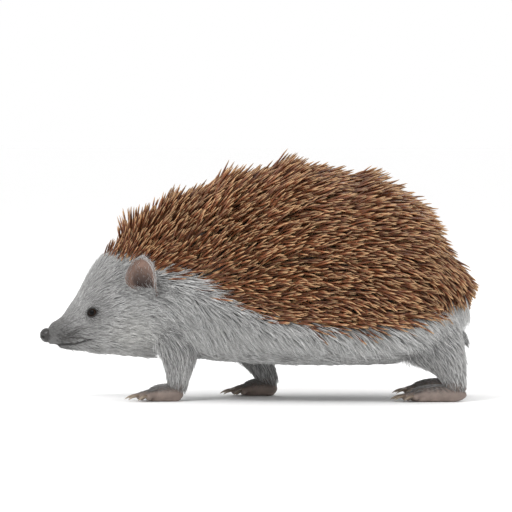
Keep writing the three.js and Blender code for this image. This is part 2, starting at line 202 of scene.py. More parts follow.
# A strand's cross section has this many sides, and its rings stand at these shares of its length,
# with these shares of its radius.
Profile = namedtuple("Profile", "sides stops girths")
QUILL = Profile(6, [0, 0.1, 0.55, 0.84, 0.95], [0.6, 0.9, 1.0, 0.8, 0.42])
LONG_HAIR = Profile(3, [0, 0.38, 0.74], [0.85, 1.0, 0.7])
SHORT_HAIR = Profile(3, [0, 0.4, 0.75], [0.9, 1.0, 0.6])
WHISKER = Profile(4, [0, 0.2, 0.4, 0.6, 0.8, 0.92], [1.0, 0.85, 0.7, 0.52, 0.32, 0.18])
ROOT_DEPTH = 0.4 * MM  # how deep strands start in the skin
QUILL_BEND = 6.875  # how many degrees a quill bends towards the skin
# Radii of hairs in millimetres. Those of face and feet grow from the first to the second value.
BODY_HAIR, LEG_HAIR, TAIL_HAIR, EAR_HAIR, WHISKER_HAIR = 0.175, 0.16, 0.12, 0.07, 0.12
FACE_HAIR, FOOT_HAIR = (0.09, 0.165), (0.05, 0.1)
# The coat's pieces along the body, each from one place to another, in millimetres.
QUILL_PIECES = {"crown": (-200, -28), "back": (-28, 38), "rump": (38, 200)}
FUR_PIECES = {"1": (-200, -35), "2": (-35, 25), "3": (25, 70), "4": (70, 200)}

PLASTIC_NUMBER = 1.32471795724474602596  # its powers spread points evenly over a plane
GOLDEN_SHARE = 0.6180339887  # its multiples spread shares evenly
GATHER_BLOCK = 1500  # how many roots look for their lock's leader at a time
JOIN_SPREAD, JOIN_ROUNDS = 5, 8  # how far, and how often, the skin is smoothed where forms meet
JOIN_FLOOR = 9 * MM  # up to this height, the joins of toes are smoothed half as much
MOUTH_DEPTH = 0.9 * MM
SOCKET_GAP = 0.06 * MM  # between an eyeball and its socket
SOLE_RIM, SOLE_SINK = 1.1 * MM, 0.1 * MM  # where the soles start to be flat, and how far they sink
CLAW_RINGS, CLAW_SIDES, CLAW_RADIUS = 18, 14, 1.2 * MM
TOE_LAP = 1.2 * MM  # how far a toe reaches over its claw's root

# Each light's name, place and size in metres, and power in watts.
LIGHTS = (
    ("key", (-0.9, -1.3, 1.5), 0.6, 18),
    ("fill", (1.4, -1.0, 0.8), 1.2, 4),
    ("rim", (0.3, 1.6, 1.3), 1.0, 10),
)

# -------- arithmetic on arrays


def outline(points):
    """A smooth function through points that doesn't overshoot them: a cubic between each two, whose
    slope at a point is the harmonic mean of the slopes on both sides, or 0 at a peak."""
    place, size = np.array(points, float).T
    slopes = np.diff(size) / np.diff(place)
    before, after = np.r_[slopes[0], slopes], np.r_[slopes, slopes[-1]]
    same_way = before * after > 0
    tangents = np.where(same_way, 2 * before * after / np.where(same_way, before + after, 1), 0)

    def at(x):
        k = np.clip(np.searchsorted(place, x, side="right") - 1, 0, len(place) - 2)
        step = place[k + 1] - place[k]
        t = np.clip((x - place[k]) / step, 0, 1)
        bow = step * t * (1 - t) * ((1 - t) * tangents[k] - t * tangents[k + 1])
        return size[k] + (size[k + 1] - size[k]) * (t * t * (3 - 2 * t)) + bow

    return at


crest, belly, half_width = outline(CREST), outline(BELLY), outline(HALF_WIDTH)
widest_line, quill_line, tip_back = outline(WIDEST_LINE), outline(QUILL_LINE), outline(TIP_BACK)
quill_depth, fur_depth, fur_length = outline(QUILL_DEPTH), outline(FUR_DEPTH), outline(FUR_LENGTH)


def smooth_step(low, high, value):
    """0 below low and 1 above high, with a smooth cubic between."""
    t = np.clip((value - low) / (high - low), 0, 1)
    return t * t * (3 - 2 * t)


def mix(a, b, share):
    """a where share is 0 and b where it is 1, with a straight line between."""
    return a + (b - a) * share


def mm(x, y, z):
    """A vector given in millimetres."""
    return np.array([x, y, z]) * MM


def unit(vectors):
    """Vectors divided by their lengths."""
    return vectors / np.maximum(np.linalg.norm(vectors, axis=-1, keepdims=True), 1e-12)


def powered(value, power):
    """A power of the value's size, with the value's sign."""
    return np.sign(value) * np.abs(value) ** power


def bell(value, middle, width):
    """A bell curve: 1 at the middle, and 1/e at one width from it."""
    return np.exp(-((value - middle) / width) ** 2)


def fold_sides(points):
    """Points of the body's left side, mirrored to its right side."""
    return points * [1, 0, 1] + np.abs(points) * [0, 1, 0]


def bump_at(points, centre, radius):
    """A bell curve, 1 at centre, of the given radius, mirrored to both sides of the body."""
    return np.exp(-np.sum(((fold_sides(points) - centre) / radius) ** 2, axis=-1))


def from_eyes(points):
    """How many millimetres points are from the middle of the nearer eye."""
    return np.min([np.linalg.norm(points - EYES[side], axis=-1) for side in SIDES], axis=0) / MM


def angle_from(axis, directions):
    """The angles between an axis and unit directions, in radians."""
    return np.arccos(np.clip(directions @ axis, -1, 1))


# -------- surfaces on grids

# A surface is a grid of rings of points, closed round each ring, with the chart it unwraps to.
Surface = namedtuple("Surface", "points normals flow chart")


def surface(points, chart=None):
    """A Surface from ring points: its normals are the cross product of the slopes along and round
    the grid, turned to point away from each ring's middle, and its flow is the slope along it."""
    along = np.gradient(points, axis=0)
    around = np.roll(points, -1, axis=1) - np.roll(points, 1, axis=1)
    normals = unit(np.cross(along, around))
    if np.sum(normals * (points - points.mean(axis=1, keepdims=True))) < 0:
        normals = -normals
    return Surface(points, normals, unit(along), chart)


def ring_faces(rings, sides):
    """Quads between neighbouring rings of a grid, whose first point has index 0."""
    ring, side = np.meshgrid(np.arange(rings - 1), np.arange(sides), indexing="ij")
    near = ring * sides + side
    far = ring * sides + (side + 1) % sides
    return np.stack([near, far, far + sides, near + sides], axis=-1).reshape(-1, 4)


def cap_faces(first, sides, pole):
    """Triangles from a pole to a ring."""
    side = np.arange(sides)
    return np.stack([first + side, first + (side + 1) % sides, np.full(sides, pole)], axis=-1)


def facing_out(points, faces):
    """The faces, turned over if the volume that they enclose comes out negative."""
    volume = 0.0
    for block in faces:
        a = points[block[:, 0]]
        for k in range(1, block.shape[1] - 1):
            volume += np.sum(a * np.cross(points[block[:, k]], points[block[:, k + 1]]))
    return faces if volume > 0 else [block[:, ::-1] for block in faces]


def closed_form(points):
    """Points and faces of a closed form from a grid of rings: each end closes on its ring's middle."""
    rings, sides = points.shape[:2]
    flat = np.concatenate([points.reshape(-1, 3), [points[0].mean(axis=0), points[-1].mean(axis=0)]])
    first, last = rings * sides, rings * sides + 1
    caps = np.concatenate([cap_faces(0, sides, first)[:, ::-1], cap_faces(first - sides, sides, last)])
    return flat, facing_out(flat, [ring_faces(rings, sides), caps])


def joined(forms):
    """Points and faces of several forms of one size as those of one form."""
    points, faces = zip(*forms)
    size = len(points[0])
    faces = [np.concatenate([block + size * index for index, block in enumerate(like)])
             for like in zip(*faces)]
    return np.concatenate(points), faces


def torus_form(points):
    """Points and faces of a form that closes on itself along both ways of the grid."""
    rings, sides = points.shape[:2]
    faces = ring_faces(rings + 1, sides) % (rings * sides)
    flat = points.reshape(-1, 3)
    return flat, facing_out(flat, [faces])


def make_piece(name, points, faces, material=None):
    """An object with a mesh from an array of points and a list of face arrays, one for each number
    of corners."""
    mesh = bpy.data.meshes.new(name)
    corners = np.concatenate([block.ravel() for block in faces]).astype(np.int32)
    counts = np.concatenate([np.full(len(block), block.shape[1]) for block in faces])
    starts = np.concatenate([[0], np.cumsum(counts)[:-1]]).astype(np.int32)
    mesh.vertices.add(len(points))
    mesh.vertices.foreach_set("co", np.ascontiguousarray(points, np.float32).ravel())
    mesh.loops.add(len(corners))
    mesh.loops.foreach_set("vertex_index", corners)
    mesh.polygons.add(len(counts))
    mesh.polygons.foreach_set("loop_start", starts)
    mesh.update(calc_edges=True)
    mesh.polygons.foreach_set("use_smooth", np.ones(len(counts), bool))
    if material is not None:
        mesh.materials.append(material)
    piece = bpy.data.objects.new(name, mesh)
    bpy.context.scene.collection.objects.link(piece)
    return piece


def finish_piece(piece, slot, *nodes):
    """Rides the piece on the one body and hides the solids it stands for. Its slot is not used."""
    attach(piece, "root")
    if nodes:
        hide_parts(*nodes)


def set_attributes(mesh, **attributes):
    """Gives the mesh a number at each point for each name."""
    for name, values in attributes.items():
        layer = mesh.attributes.new(name, "FLOAT", "POINT")
        layer.data.foreach_set("value", np.asarray(values, np.float32))


def read(elements, name, width=3, kind=float):
    """One property of all of a mesh's elements, as an array with a row for each."""
    values = np.empty(len(elements) * width, kind)
    elements.foreach_get(name, values)
    return values.reshape(-1, width) if width > 1 else values


def move_points(mesh, points):
    """Gives the mesh's points new places."""
    mesh.vertices.foreach_set("co", points.astype(np.float32).ravel())
    mesh.update()


# -------- tubes and balls


def bezier(start, bend, end, t):
    """Points and slopes of a quadratic curve from start to end, drawn towards bend."""
    t = t[:, None]
    points = (1 - t) ** 2 * start + 2 * t * (1 - t) * bend + t * t * end
    return points, unit(2 * (1 - t) * (bend - start) + 2 * t * (end - bend))


def tube(start, bend, end, radii, rings, sides, flatten=1.0, up=(0, 0, 1)):
    """Rings round a quadratic curve: at share t the radius is radii(t), times flatten across the
    second axis of the ring, and both ends close as blunt domes."""
    t = (1 - np.cos(np.linspace(0.04, 1, rings) * np.pi * 0.98)) / 2
    middle, direction = bezier(start, bend, end, t)
    first = unit(np.cross(direction, np.array(up, float)))
    second = np.cross(direction, first)
    dome = np.sqrt(np.clip(1 - np.abs(2 * t - 1) ** 8, 0, 1))
    radius = (radii(t) * dome)[:, None, None]
    turn = np.linspace(0, 2 * np.pi, sides, endpoint=False)[None, :, None]
    return (
        middle[:, None] + radius * np.cos(turn) * first[:, None]
        + radius * flatten * np.sin(turn) * second[:, None]
    )


def ball(rows, columns):
    """A unit ball's rings, from its -Y pole to its +Y pole, as arrays of across, along and thick."""
    rise = np.linspace(0.02, 0.98, rows)[:, None] * np.pi
    turn = np.linspace(0, 2 * np.pi, columns, endpoint=False)[None, :]
    return np.sin(rise) * np.cos(turn), -np.cos(rise) * np.ones_like(turn), np.sin(rise) * np.sin(turn)


def ellipsoid(centre, half_sizes, rows, columns):
    """A ball's rings, stretched to the given half sizes, with its poles up and down."""
    across, along, thick = ball(rows, columns)
    return np.stack([across, thick, along], axis=-1) * half_sizes + centre


def rotate(points, axis, degrees):
    """Turns points about X, Y or Z through the origin, by the right-hand rule."""
    c, s = math.cos(math.radians(degrees)), math.sin(math.radians(degrees))
    x, y, z = points[..., 0], points[..., 1], points[..., 2]
    turned = {
        "X": (x, c * y - s * z, s * y + c * z),
        "Y": (c * x + s * z, y, c * z - s * x),
        "Z": (c * x - s * y, s * x + c * y, z),
    }[axis]
    return np.stack(turned, axis=-1)


# -------- forms of the skin


def envelope(x, angle):
    """The coat's outer surface: at x, a superellipse whose reach up, down and sideways follows the
    outlines. Its ends close as ellipses."""
    share = x / LENGTH
    middle = widest_line(share) * HEIGHT
    muzzle = (MUZZLE_START + MUZZLE_ROUND - x) / MUZZLE_ROUND
    rump = (x - (LENGTH / 2 - RUMP_ROUND)) / RUMP_ROUND
    closing = np.sqrt(np.clip(1 - np.maximum(np.maximum(muzzle, rump), 0) ** 2, 0, 1))
    up = (crest(share) * HEIGHT - middle) * closing
    down = (middle - belly(share) * HEIGHT) * closing
    half = half_width(share) * WIDTH / 2 * closing
    rise = np.cos(angle)
    power = 2 / np.where(rise > 0, UPPER_POWER, LOWER_POWER)
    z = middle + powered(rise, power) * np.where(rise > 0, up, down)
    y = powered(np.sin(angle), power) * half
    return np.stack([x + 0 * angle, y, z], axis=-1)


def above_quill_line(points, normals):
    """How many millimetres the coat's outer surface over a point of the skin is above the lowest roots
    of quills, which lie higher over the rump, where the quills hang."""
    share = points[..., 0] / LENGTH
    outer = points[..., 2] / MM + 0.7 * quill_depth(share) * np.maximum(normals[..., 2], 0)
    return outer - quill_line(share) * HEIGHT / MM - 6 * smooth_step(0.24, 0.38, share)


def coat_depth(points, normals):
    """How deep the skin lies: the quills' depth above the quill line, the fur's below it, and less
    fur where the skin faces down."""
    share = points[..., 0] / LENGTH
    above = points[..., 2] - quill_line(share) * HEIGHT
    quilled = smooth_step(-6 * MM, 10 * MM, above) * smooth_step(-0.385, -0.35, share)
    fur = fur_depth(share) * mix(1.0, 0.35, smooth_step(0.2, 0.9, -normals[..., 2]))
    forehead = 1 + 1.6 * smooth_step(0.3, 0.9, normals[..., 2]) * smooth_step(-0.42, -0.37, share)
    return mix(fur * forehead, quill_depth(share), quilled) * MM


def mouth_height(x):
    """How high the line between the lips is, in millimetres, from under the nose to the corner."""
    return 30.4 + 0.9 * smooth_step(-118, -108, x) + 3.4 * smooth_step(-107, MOUTH_CORNER, x)


def sculpt_head(points, normals):
    """Raises brows, cheeks and whisker pads, sinks the bridge of the nose and sets the lower jaw in
    under the lip: a sum of bell curves and steps along the normals."""
    x, y, z = (points[..., axis] / MM for axis in range(3))
    forms = [(height, EYES["right"] + mm(*place), radius) for height, place, radius in EYE_FORMS]
    forms += [(height, mm(*place), radius) for height, place, radius in MUZZLE_FORMS]
    raised = sum(height * bump_at(points, place, radius * MM) for height, place, radius in forms)
    raised -= 0.5 * bell(y, 0, 0.55) * smooth_step(-117, -120, x) * smooth_step(36, 33, z)
    jaw = smooth_step(-0.2, 1.0, mouth_height(x) - z) * smooth_step(MOUTH_CORNER, -101, x)
    raised -= 0.9 * jaw
    moved = points + raised[..., None] * MM * normals
    moved[..., 0] += 2.6 * MM * jaw * smooth_step(-110, -121, x)
    return moved


def body_surface(rings=226, sides=160):
    """The body's skin: the envelope moved inwards along its normals by the coat's depth, with rings
    half a millimetre apart on the head, and then sculpted."""
    head_share = 0.62
    t = np.linspace(0.004, 0.996, rings)
    head_end, start, end = -0.22 * LENGTH, MUZZLE_START, LENGTH / 2
    head = start + (head_end - start) * (t / head_share) ** 1.05
    rest = (t - head_share) / (1 - head_share)
    trunk = head_end + (end - head_end) * np.sin(np.clip(rest, 0, 1) * np.pi / 2)
    x = np.where(t < head_share, head, trunk)[:, None]
    angle = np.linspace(0, 2 * np.pi, sides, endpoint=False)[None, :]
    outer = surface(envelope(x, angle))
    depth = coat_depth(outer.points, outer.normals)
    skin = surface(outer.points - depth[..., None] * outer.normals)
    return surface(sculpt_head(skin.points, skin.normals), CHARTS["body"])


def nose_pit(points):
    """How far a point of the unit nose is inside a nostril: a comma from the front out to the side,
    1 along its middle line and 0 beyond its rim, and the same for the raised wing around it."""
    start, end = np.array([-0.88, 0.36, 0.02]), np.array([-0.42, 0.9, -0.26])
    way = end - start
    folded = fold_sides(points) - start
    along = np.clip((folded @ way) / (way @ way), 0, 1)
    away = np.linalg.norm(folded - along[..., None] * way, axis=-1)
    width = mix(0.25, 0.13, along)
    return smooth_step(1.0, 0.35, away / width), bell(away, width * 1.3, 0.09)


def nose_points():
    """The nose pad: a ball, deeper in front, with a groove down its middle and a comma-shaped pit on
    each side for a nostril."""
    across, along, thick = ball(70, 90)
    points = np.stack([thick, across, along], axis=-1)
    front = smooth_step(0.1, 0.9, -points[..., 0])
    groove = bell(points[..., 1], 0, 0.09) * front * smooth_step(0.45, -0.1, points[..., 2])
    pit, wing = nose_pit(points)
    points = points * (1 - 0.12 * groove - 0.36 * pit + 0.07 * wing)[..., None]
    points[..., 2] *= 1 + 0.1 * np.maximum(-points[..., 0], 0)
    return points * NOSE_HALF + NOSE_MIDDLE


def eye_frame(side):
    """The way an eye looks, sideways and a little forward and up, and what is forward and up of it."""
    axis = unit(np.array([-0.42, SIDES[side] * 1.0, 0.16]))
    forward = unit(np.cross(np.cross(axis, [-1, 0, -0.16]), axis))
    return axis, forward, unit(np.cross(axis, forward)) * -SIDES[side]


def lid_surface(side):
    """The lids round an eye. Round the eye's axis the opening is an almond, drawn out to a tear duct
    in front. Across the lids the outline rises from under the eyeball, rolls over its rim, has a fold
    where the lid bends, and runs out level with the skin."""
    axis, forward, upward = eye_frame(side)
    turn = np.linspace(0, 2 * np.pi, 96, endpoint=False)
    upper = smooth_step(-0.2, 0.6, np.sin(turn))
    opening = 2.58 - 0.5 * np.abs(np.sin(turn)) ** 1.4 * mix(0.75, 1.15, upper)
    opening += 0.38 * bell(turn, 2 * np.pi * (turn > np.pi), 0.26)
    lap = np.sqrt((EYE_RADIUS / MM) ** 2 - opening**2)
    # Each row is the distance outwards from the rim, and the height above the rim's lap.
    rows = np.array([
        (0.0, 0.05), (0.06, 0.36), (0.32, 0.52), (0.66, 0.42), (0.92, 0.12), (1.12, -0.3), (1.4, -0.12),
        (1.9, -0.36), (2.8, -1.0), (3.8, -1.75), (4.9, -2.7), (4.6, -4.2), (2.4, -4.4), (0.3, -2.4),
    ])
    count = len(rows)
    steps = np.linspace(0, count, 3 * count, endpoint=False)
    k, t = steps.astype(int), (steps % 1)[:, None]
    a, b, c, d = (rows[(k + shift) % count] for shift in (-1, 0, 1, 2))
    curve = 0.5 * (2 * b + (c - a) * t + (2 * a - 5 * b + 4 * c - d) * t**2
                   + (3 * b - a - 3 * c + d) * t**3)
    away, rise = curve[:, :1], curve[:, 1:]
    radial = np.cos(turn)[:, None] * forward + np.sin(turn)[:, None] * upward
    height = (lap + rise + 0.45 * upper * bell(away, 1.9, 0.9)) * MM
    points = EYES[side] + ((opening + away) * MM)[..., None] * radial + height[..., None] * axis
    form = surface(points, CHARTS[f"{side}_lid"])
    lie = unit(0.7 * radial[None] - forward + 0 * points)
    furred = (away > 0.78) & (away < 4.7) & (rise > -3)
    return form._replace(flow=lie), furred * np.ones(len(turn))


def ear_frame(side):
    """An ear's own axes as rows: across, along from base to tip, and out of its hollow side. The
    second value is where its base is."""
    sign = SIDES[side]
    axes = np.array([[-sign, 0, 0], [0, 1, 0], [0, 0, -sign]]) * 1.0
    for axis, degrees in (("X", 90), ("Y", 7), ("X", -16 * sign), ("Z", 32 * sign)):
        axes = rotate(axes, axis, degrees)
    low, high = box(f"{side}_ear")
    return axes, (low + high) / 2 - EAR_MIDDLE * MM * axes[1]


def ear_surface(side):
    """An ear: a flat ball bent to a cup round its length, with a bowl sunk in its lower half, a
    rolled rim, a groove inside the rim, a fold along the bowl and a lobe over its mouth."""
    across, along, thick = ball(64, 80)
    share = (along + 1) / 2
    narrow = mix(0.62, 1.0, np.sin(np.minimum(share / 0.6, 1) * np.pi / 2))
    from_middle = np.hypot(across, along)
    inner = smooth_step(0.02, 0.4, thick)
    bowl = bell(across, -0.05, 0.55) * bell(share, 0.34, 0.24)
    lobe = bell(across, 0.55, 0.2) * bell(share, 0.16, 0.09)
    cup = mix(1.25, 0.55, share) * smooth_step(-0.05, 0.36, share)
    rim, groove, fold = (bell(from_middle, place, width) for place, width in EAR_RINGS)
    z = 5.5 * ((across * narrow) ** 2 - 0.35) * cup + 0.85 * thick
    z -= (1.5 + 1.1 * inner) * bowl + 7.5 * smooth_step(0.46, 0.0, share)
    z += 0.55 * rim + inner * (0.8 * fold * smooth_step(0.2, 0.5, share) - 0.45 * groove + 1.3 * lobe)
    x = across * EAR_WIDTH / 2 * narrow
    y = along * EAR_HEIGHT / 2 + EAR_MIDDLE
    axes, base = ear_frame(side)
    points = base + MM * (x[..., None] * axes[0] + y[..., None] * axes[1] + z[..., None] * axes[2])
    return surface(points, CHARTS[f"{side}_ear"])


def tail_surface():
    """A short bare tail, curving back and down from under the rump."""
    low, high = box("tail")
    root = np.array([high[0] - 19 * MM, 0, high[2] + 6 * MM])
    tip = np.array([high[0] - 1.5 * MM, 0, low[2] + 1.2 * MM])
    bend = mix(root, tip, 0.6) + mm(2.5, 0, 2.5)
    points = tube(root, bend, tip, lambda t: mix(4.3, 1.2, t) * MM, 30, 20, up=(0, 1, 0))
    return surface(points, CHARTS["tail"])


def leg_surface(name):
    """A leg from inside the trunk to its ankle: wide above, narrow at the wrist or hock."""
    side, limb, root_back = LEGS[name]
    sole = SOLES[f"{name}_sole"]
    top = np.array([sole[0] + root_back * MM, sole[1] - side * limb.root_in * MM, ROOT_HEIGHT * MM])
    ankle = np.array([sole[0] + limb.ankle_back * MM, sole[1], ANKLE_HEIGHT * MM])
    bend = mix(top, ankle, 0.5) + mm(limb.bend_back, side * 2, 0)

    def radii(t):
        return mix(limb.root, limb.wrist, smooth_step(0, 0.85, t)) * MM

    return surface(tube(top, bend, ankle, radii, 44, 36, up=(0, 1, 0)), CHARTS[name])


def toe_lines(name):
    """Where each toe of a foot ends and which way it points, from the boxes of its claws."""
    side, limb, _ = LEGS[name]
    ends, ways = [], []
    for i, angle in enumerate(limb.toe_angles):
        low, high = box(f"{name}_claw_{i + 1}")
        turn = math.radians(angle) * side
        way = np.array([-math.cos(turn), math.sin(turn), 0])
        reach = np.linalg.norm((high - low)[:2]) / 2
        ends.append((low + high) / 2 - way * (reach - TOE_LAP))
        ways.append(way)
    return np.array(ends), np.array(ways)


def foot_forms(name):
    """A foot's forms: the sole, heel pads, ball pads and five toes, each toe an arched tube with a
    thick tip."""
    long, wide, high = LEGS[name][1].sole
    sole = SOLES[f"{name}_sole"]
    forms = [ellipsoid(sole + mm(0, 0, high - 1.4), mm(long, wide, high), 30, 36)]
    for along, across, radius in PADS:
        middle = sole + mm(along * long, across * wide, 1.6)
        forms.append(ellipsoid(middle, mm(radius * 1.25, radius, 2.3), 14, 18))
    for end, way in zip(*toe_lines(name)):
        start = sole + mm(-0.42 * long, 0, 3.0)
        start[1] = mix(start[1], end[1], 0.42)
        tip = np.array([end[0], end[1], 2.0 * MM]) - way * 0.6 * MM
        knuckle = mix(start, tip, 0.5) + mm(0, 0, 3.2)
        forms.append(tube(start, knuckle, tip, lambda t: (2.15 + 0.3 * np.sin(7 * t)) * MM, 20, 18))
    return forms


def claw_rings(node, way):
    """A claw's rings, from its root down to its tip: a curved, narrow cone in its solid's box."""
    low, high = box(node)
    middle, reach = (low + high) / 2, np.linalg.norm((high - low)[:2]) / 2
    root = middle - way * reach + np.array([0, 0, high[2] - middle[2] - CLAW_RADIUS])
    tip = middle + way * (reach - 0.2 * MM)
    tip[2] = low[2] + 0.15 * MM
    bend = mix(root, tip, 0.55) + mm(0, 0, 1.5)
    return tube(root, bend, tip, lambda t: CLAW_RADIUS * (1 - 0.85 * t**1.6), CLAW_RINGS, CLAW_SIDES,
                flatten=0.8)


def clear_of_legs(points):
    """False where a point of the body's skin lies inside a leg."""
    clear = np.ones(len(points), bool)
    for name in LEGS:
        rings = leg_surface(name).points
        middle = rings.mean(axis=1)
        radius = np.linalg.norm(rings - middle[:, None], axis=-1).mean(axis=1)
        gaps = np.linalg.norm(points[:, None] - middle[None], axis=-1)
        clear &= np.all(gaps > radius - 0.5 * MM, axis=1)
    return clear


def clear_of_body(points):
    """False where a point lies inside the body's skin, which closes over the rump as an ellipse."""
    share = points[:, 0] / LENGTH
    middle = widest_line(share) * HEIGHT
    depth = fur_depth(share) * MM
    rump = (points[:, 0] + quill_depth(0.5) * MM - LENGTH / 2) / RUMP_ROUND + 1
    closing = np.sqrt(np.clip(1 - np.maximum(rump, 0) ** 2, 0.01, 1))
    half = (half_width(share) * WIDTH / 2 - depth) * closing
    down = (middle - belly(share) * HEIGHT - 0.35 * depth) * closing
    below = np.clip((middle - points[:, 2]) / down, 0, 2)
    inside = np.abs(points[:, 1] / half) ** LOWER_POWER + below**LOWER_POWER
    return inside > 0.8


# -------- one skin out of its forms


def boolean(piece, form, operation):
    """Joins a closed form of points and faces to the piece's mesh, or cuts it out of the mesh."""
    other = make_piece("form", *form)
    modifier = piece.modifiers.new("join", "BOOLEAN")
    modifier.operation = operation
    modifier.solver = "MANIFOLD"
    modifier.object = other
    graph = bpy.context.evaluated_depsgraph_get()
    joined = bpy.data.meshes.new_from_object(piece.evaluated_get(graph))
    if len(joined.vertices) in (0, len(piece.data.vertices)):
        raise RuntimeError(f"a form could not be joined to {piece.name}")
    piece.modifiers.clear()
    spent = piece.data, other.data
    piece.data = joined
    bpy.data.objects.remove(other)
    for mesh in spent:
        bpy.data.meshes.remove(mesh)


def inward_folds(mesh):
    """How sharply each edge of a closed mesh is folded inwards, in radians: the angle between its two
    faces' normals, or 0 where the second face doesn't rise in front of the first."""
    normals, centres = read(mesh.polygons, "normal"), read(mesh.polygons, "center")
    corners = read(mesh.polygons, "loop_total", 1, np.int32)
    faces = np.repeat(np.arange(len(corners)), corners)
    order = np.argsort(read(mesh.loops, "edge_index", 1, np.int32), kind="stable")
    first, second = faces[order].reshape(-1, 2).T
    inward = np.sum((centres[second] - centres[first]) * normals[first], axis=1) > 0
    return np.arccos(np.clip(np.sum(normals[first] * normals[second], axis=1), -1, 1)) * inward


def smooth_joins(mesh):
    """Smooths the mesh where its forms meet: each point moves by its weight towards the mean of its
    neighbours, round after round. Weights come from the inward folds and spread to neighbours,
    fading by a fifth at each step, and are half as large near the floor."""
    points, edges = read(mesh.vertices, "co"), read(mesh.edges, "vertices", 2, np.int32)
    here, there = np.concatenate([edges, edges[:, ::-1]]).T  # each edge, seen from both of its ends
    weights = np.zeros(len(points))
    np.maximum.at(weights, here, np.tile(smooth_step(0.25, 0.7, inward_folds(mesh)), 2))
    for _ in range(JOIN_SPREAD):
        spread = weights.copy()
        np.maximum.at(spread, here, 0.8 * weights[there])
        weights = spread
    weights = 0.6 * weights * np.where(points[:, 2] < JOIN_FLOOR, 0.5, 1.0)
    count = np.maximum(np.bincount(here, minlength=len(points)), 1)[:, None]
    for _ in range(JOIN_ROUNDS):
        total = np.stack([np.bincount(here, axis[there], len(points)) for axis in points.T], axis=-1)
        points = points + weights[:, None] * (total / count - points)
    move_points(mesh, points)


def mouth_groove(points):
    """How far the line between the lips is cut in, from 0 to 1: a narrow bell across the line, from
    under the nose to the corner of the mouth."""
    x, z = points[:, 0] / MM, points[:, 2] / MM
    ends = smooth_step(MOUTH_FRONT, MOUTH_FRONT + 3, x) * smooth_step(MOUTH_CORNER, MOUTH_CORNER - 5, x)
    return bell(z, mouth_height(x), 0.6) * ends


def build_skin():
    """Joins body, legs, feet, tail, ears, nose and eyelids to one closed form, cuts the eye sockets,
    smooths the joins, cuts the mouth, and flattens the soles on the floor: below rim, a height h
    becomes rim exp(h / rim - 1), and all sink a little."""
    skin = make_piece("skin", *closed_form(body_surface().points))
    forms = [nose_points(), tail_surface().points, *(ear_surface(side).points for side in SIDES)]
    for name in LEGS:
        forms += [leg_surface(name).points, *foot_forms(name)]
    for points in forms:
        boolean(skin, closed_form(points), "UNION")
    for side in SIDES:
        boolean(skin, torus_form(lid_surface(side)[0].points), "UNION")
    smooth_joins(skin.data)
    for side in SIDES:
        boolean(skin, closed_form(ellipsoid(EYES[side], EYE_RADIUS + SOCKET_GAP, 34, 40)), "DIFFERENCE")
    mesh = skin.data
    points, normals = read(mesh.vertices, "co"), read(mesh.vertices, "normal")
    points = points - MOUTH_DEPTH * mouth_groove(points)[:, None] * normals
    height = points[:, 2]
    low = SOLE_RIM * np.exp(np.minimum(height / SOLE_RIM - 1, 0))
    points[:, 2] = np.maximum(np.where(height < SOLE_RIM, low, height) - SOLE_SINK, 0)
    move_points(mesh, points)
    paint_masks(mesh, points, normals)
    mesh.polygons.foreach_set("use_smooth", np.ones(len(mesh.polygons), bool))
    return skin


def paint_masks(mesh, points, normals):
    """Attributes from 0 to 1 that the skin's material reads: where the skin is nose, dark lid or lip,
    nostril pit, ear, the ear's hollow, foot, or lies under quills. The nostril pits and the ear's hollow
    carry painted shade."""
    place = (points - NOSE_MIDDLE) / NOSE_HALF
    nose = smooth_step(1.2, 1.08, np.linalg.norm(place, axis=1)) * smooth_step(0.75, 0.45, place[:, 0])
    lids = smooth_step(6.4, 4.4, from_eyes(points))
    # dark: real dark skin of lids and lips, and painted shade in the nostril pits
    dark = lids + 0.9 * smooth_step(0.02, 0.2, mouth_groove(points)) + nose * nose_pit(place)[0]
    ear, hollow = np.zeros(len(points)), np.zeros(len(points))
    for side in SIDES:
        axes, base = ear_frame(side)
        across, along, out = ((points - base) @ axes.T / MM).T
        from_middle = np.hypot(across / (EAR_WIDTH / 2), (along - EAR_MIDDLE) / (EAR_HEIGHT / 2))
        here = smooth_step(1.35, 1.2, from_middle) * smooth_step(8, 6.5, np.abs(out))
        here = here * smooth_step(-2.5, 1.5, along)
        # hollow: painted shade, darkening the ear's bowl on the faces that look out of its hollow side
        deep = smooth_step(0.95, 0.55, from_middle) * smooth_step(23, 8, along)
        ear = np.maximum(ear, here)
        hollow = np.maximum(hollow, here * deep * smooth_step(-0.1, 0.5, normals @ axes[2]))
    set_attributes(
        mesh, nose=nose, dark=np.clip(dark, 0, 1), ear=ear, hollow=hollow, tone=coat_tone(points),
        foot=smooth_step(12 * MM, 8 * MM, points[:, 2]),
        spiny=smooth_step(0, 6, above_quill_line(points, normals)) * (1 - ear),
    )


def coat_tone(points):
    """The markings, shared by skin and coat: 0.5 is the plain coat, less is darker and more is paler.
    The muzzle, the rings round the eyes, the brow and the feet are darker, and the cheeks paler."""
    x, z = points[..., 0] / MM, points[..., 2] / MM
    tone = 0.5 - 0.3 * smooth_step(-100, -116, x)
    for side in SIDES:
        tone -= 0.26 * bell(np.linalg.norm(points - EYES[side], axis=-1) / MM, 0, 7.5)
    tone -= 0.1 * smooth_step(-62, -78, x) * smooth_step(52, 66, z)
    tone += 0.14 * bell(x, -76, 14) * bell(z, 38, 10)
    tone -= 0.34 * smooth_step(15, 5, z)
    return np.clip(tone, 0, 1)


# -------- roots and strands of the coat

Roots = namedtuple("Roots", "points normals flow patch")
Strands = namedtuple("Strands", "roots first last length radius")


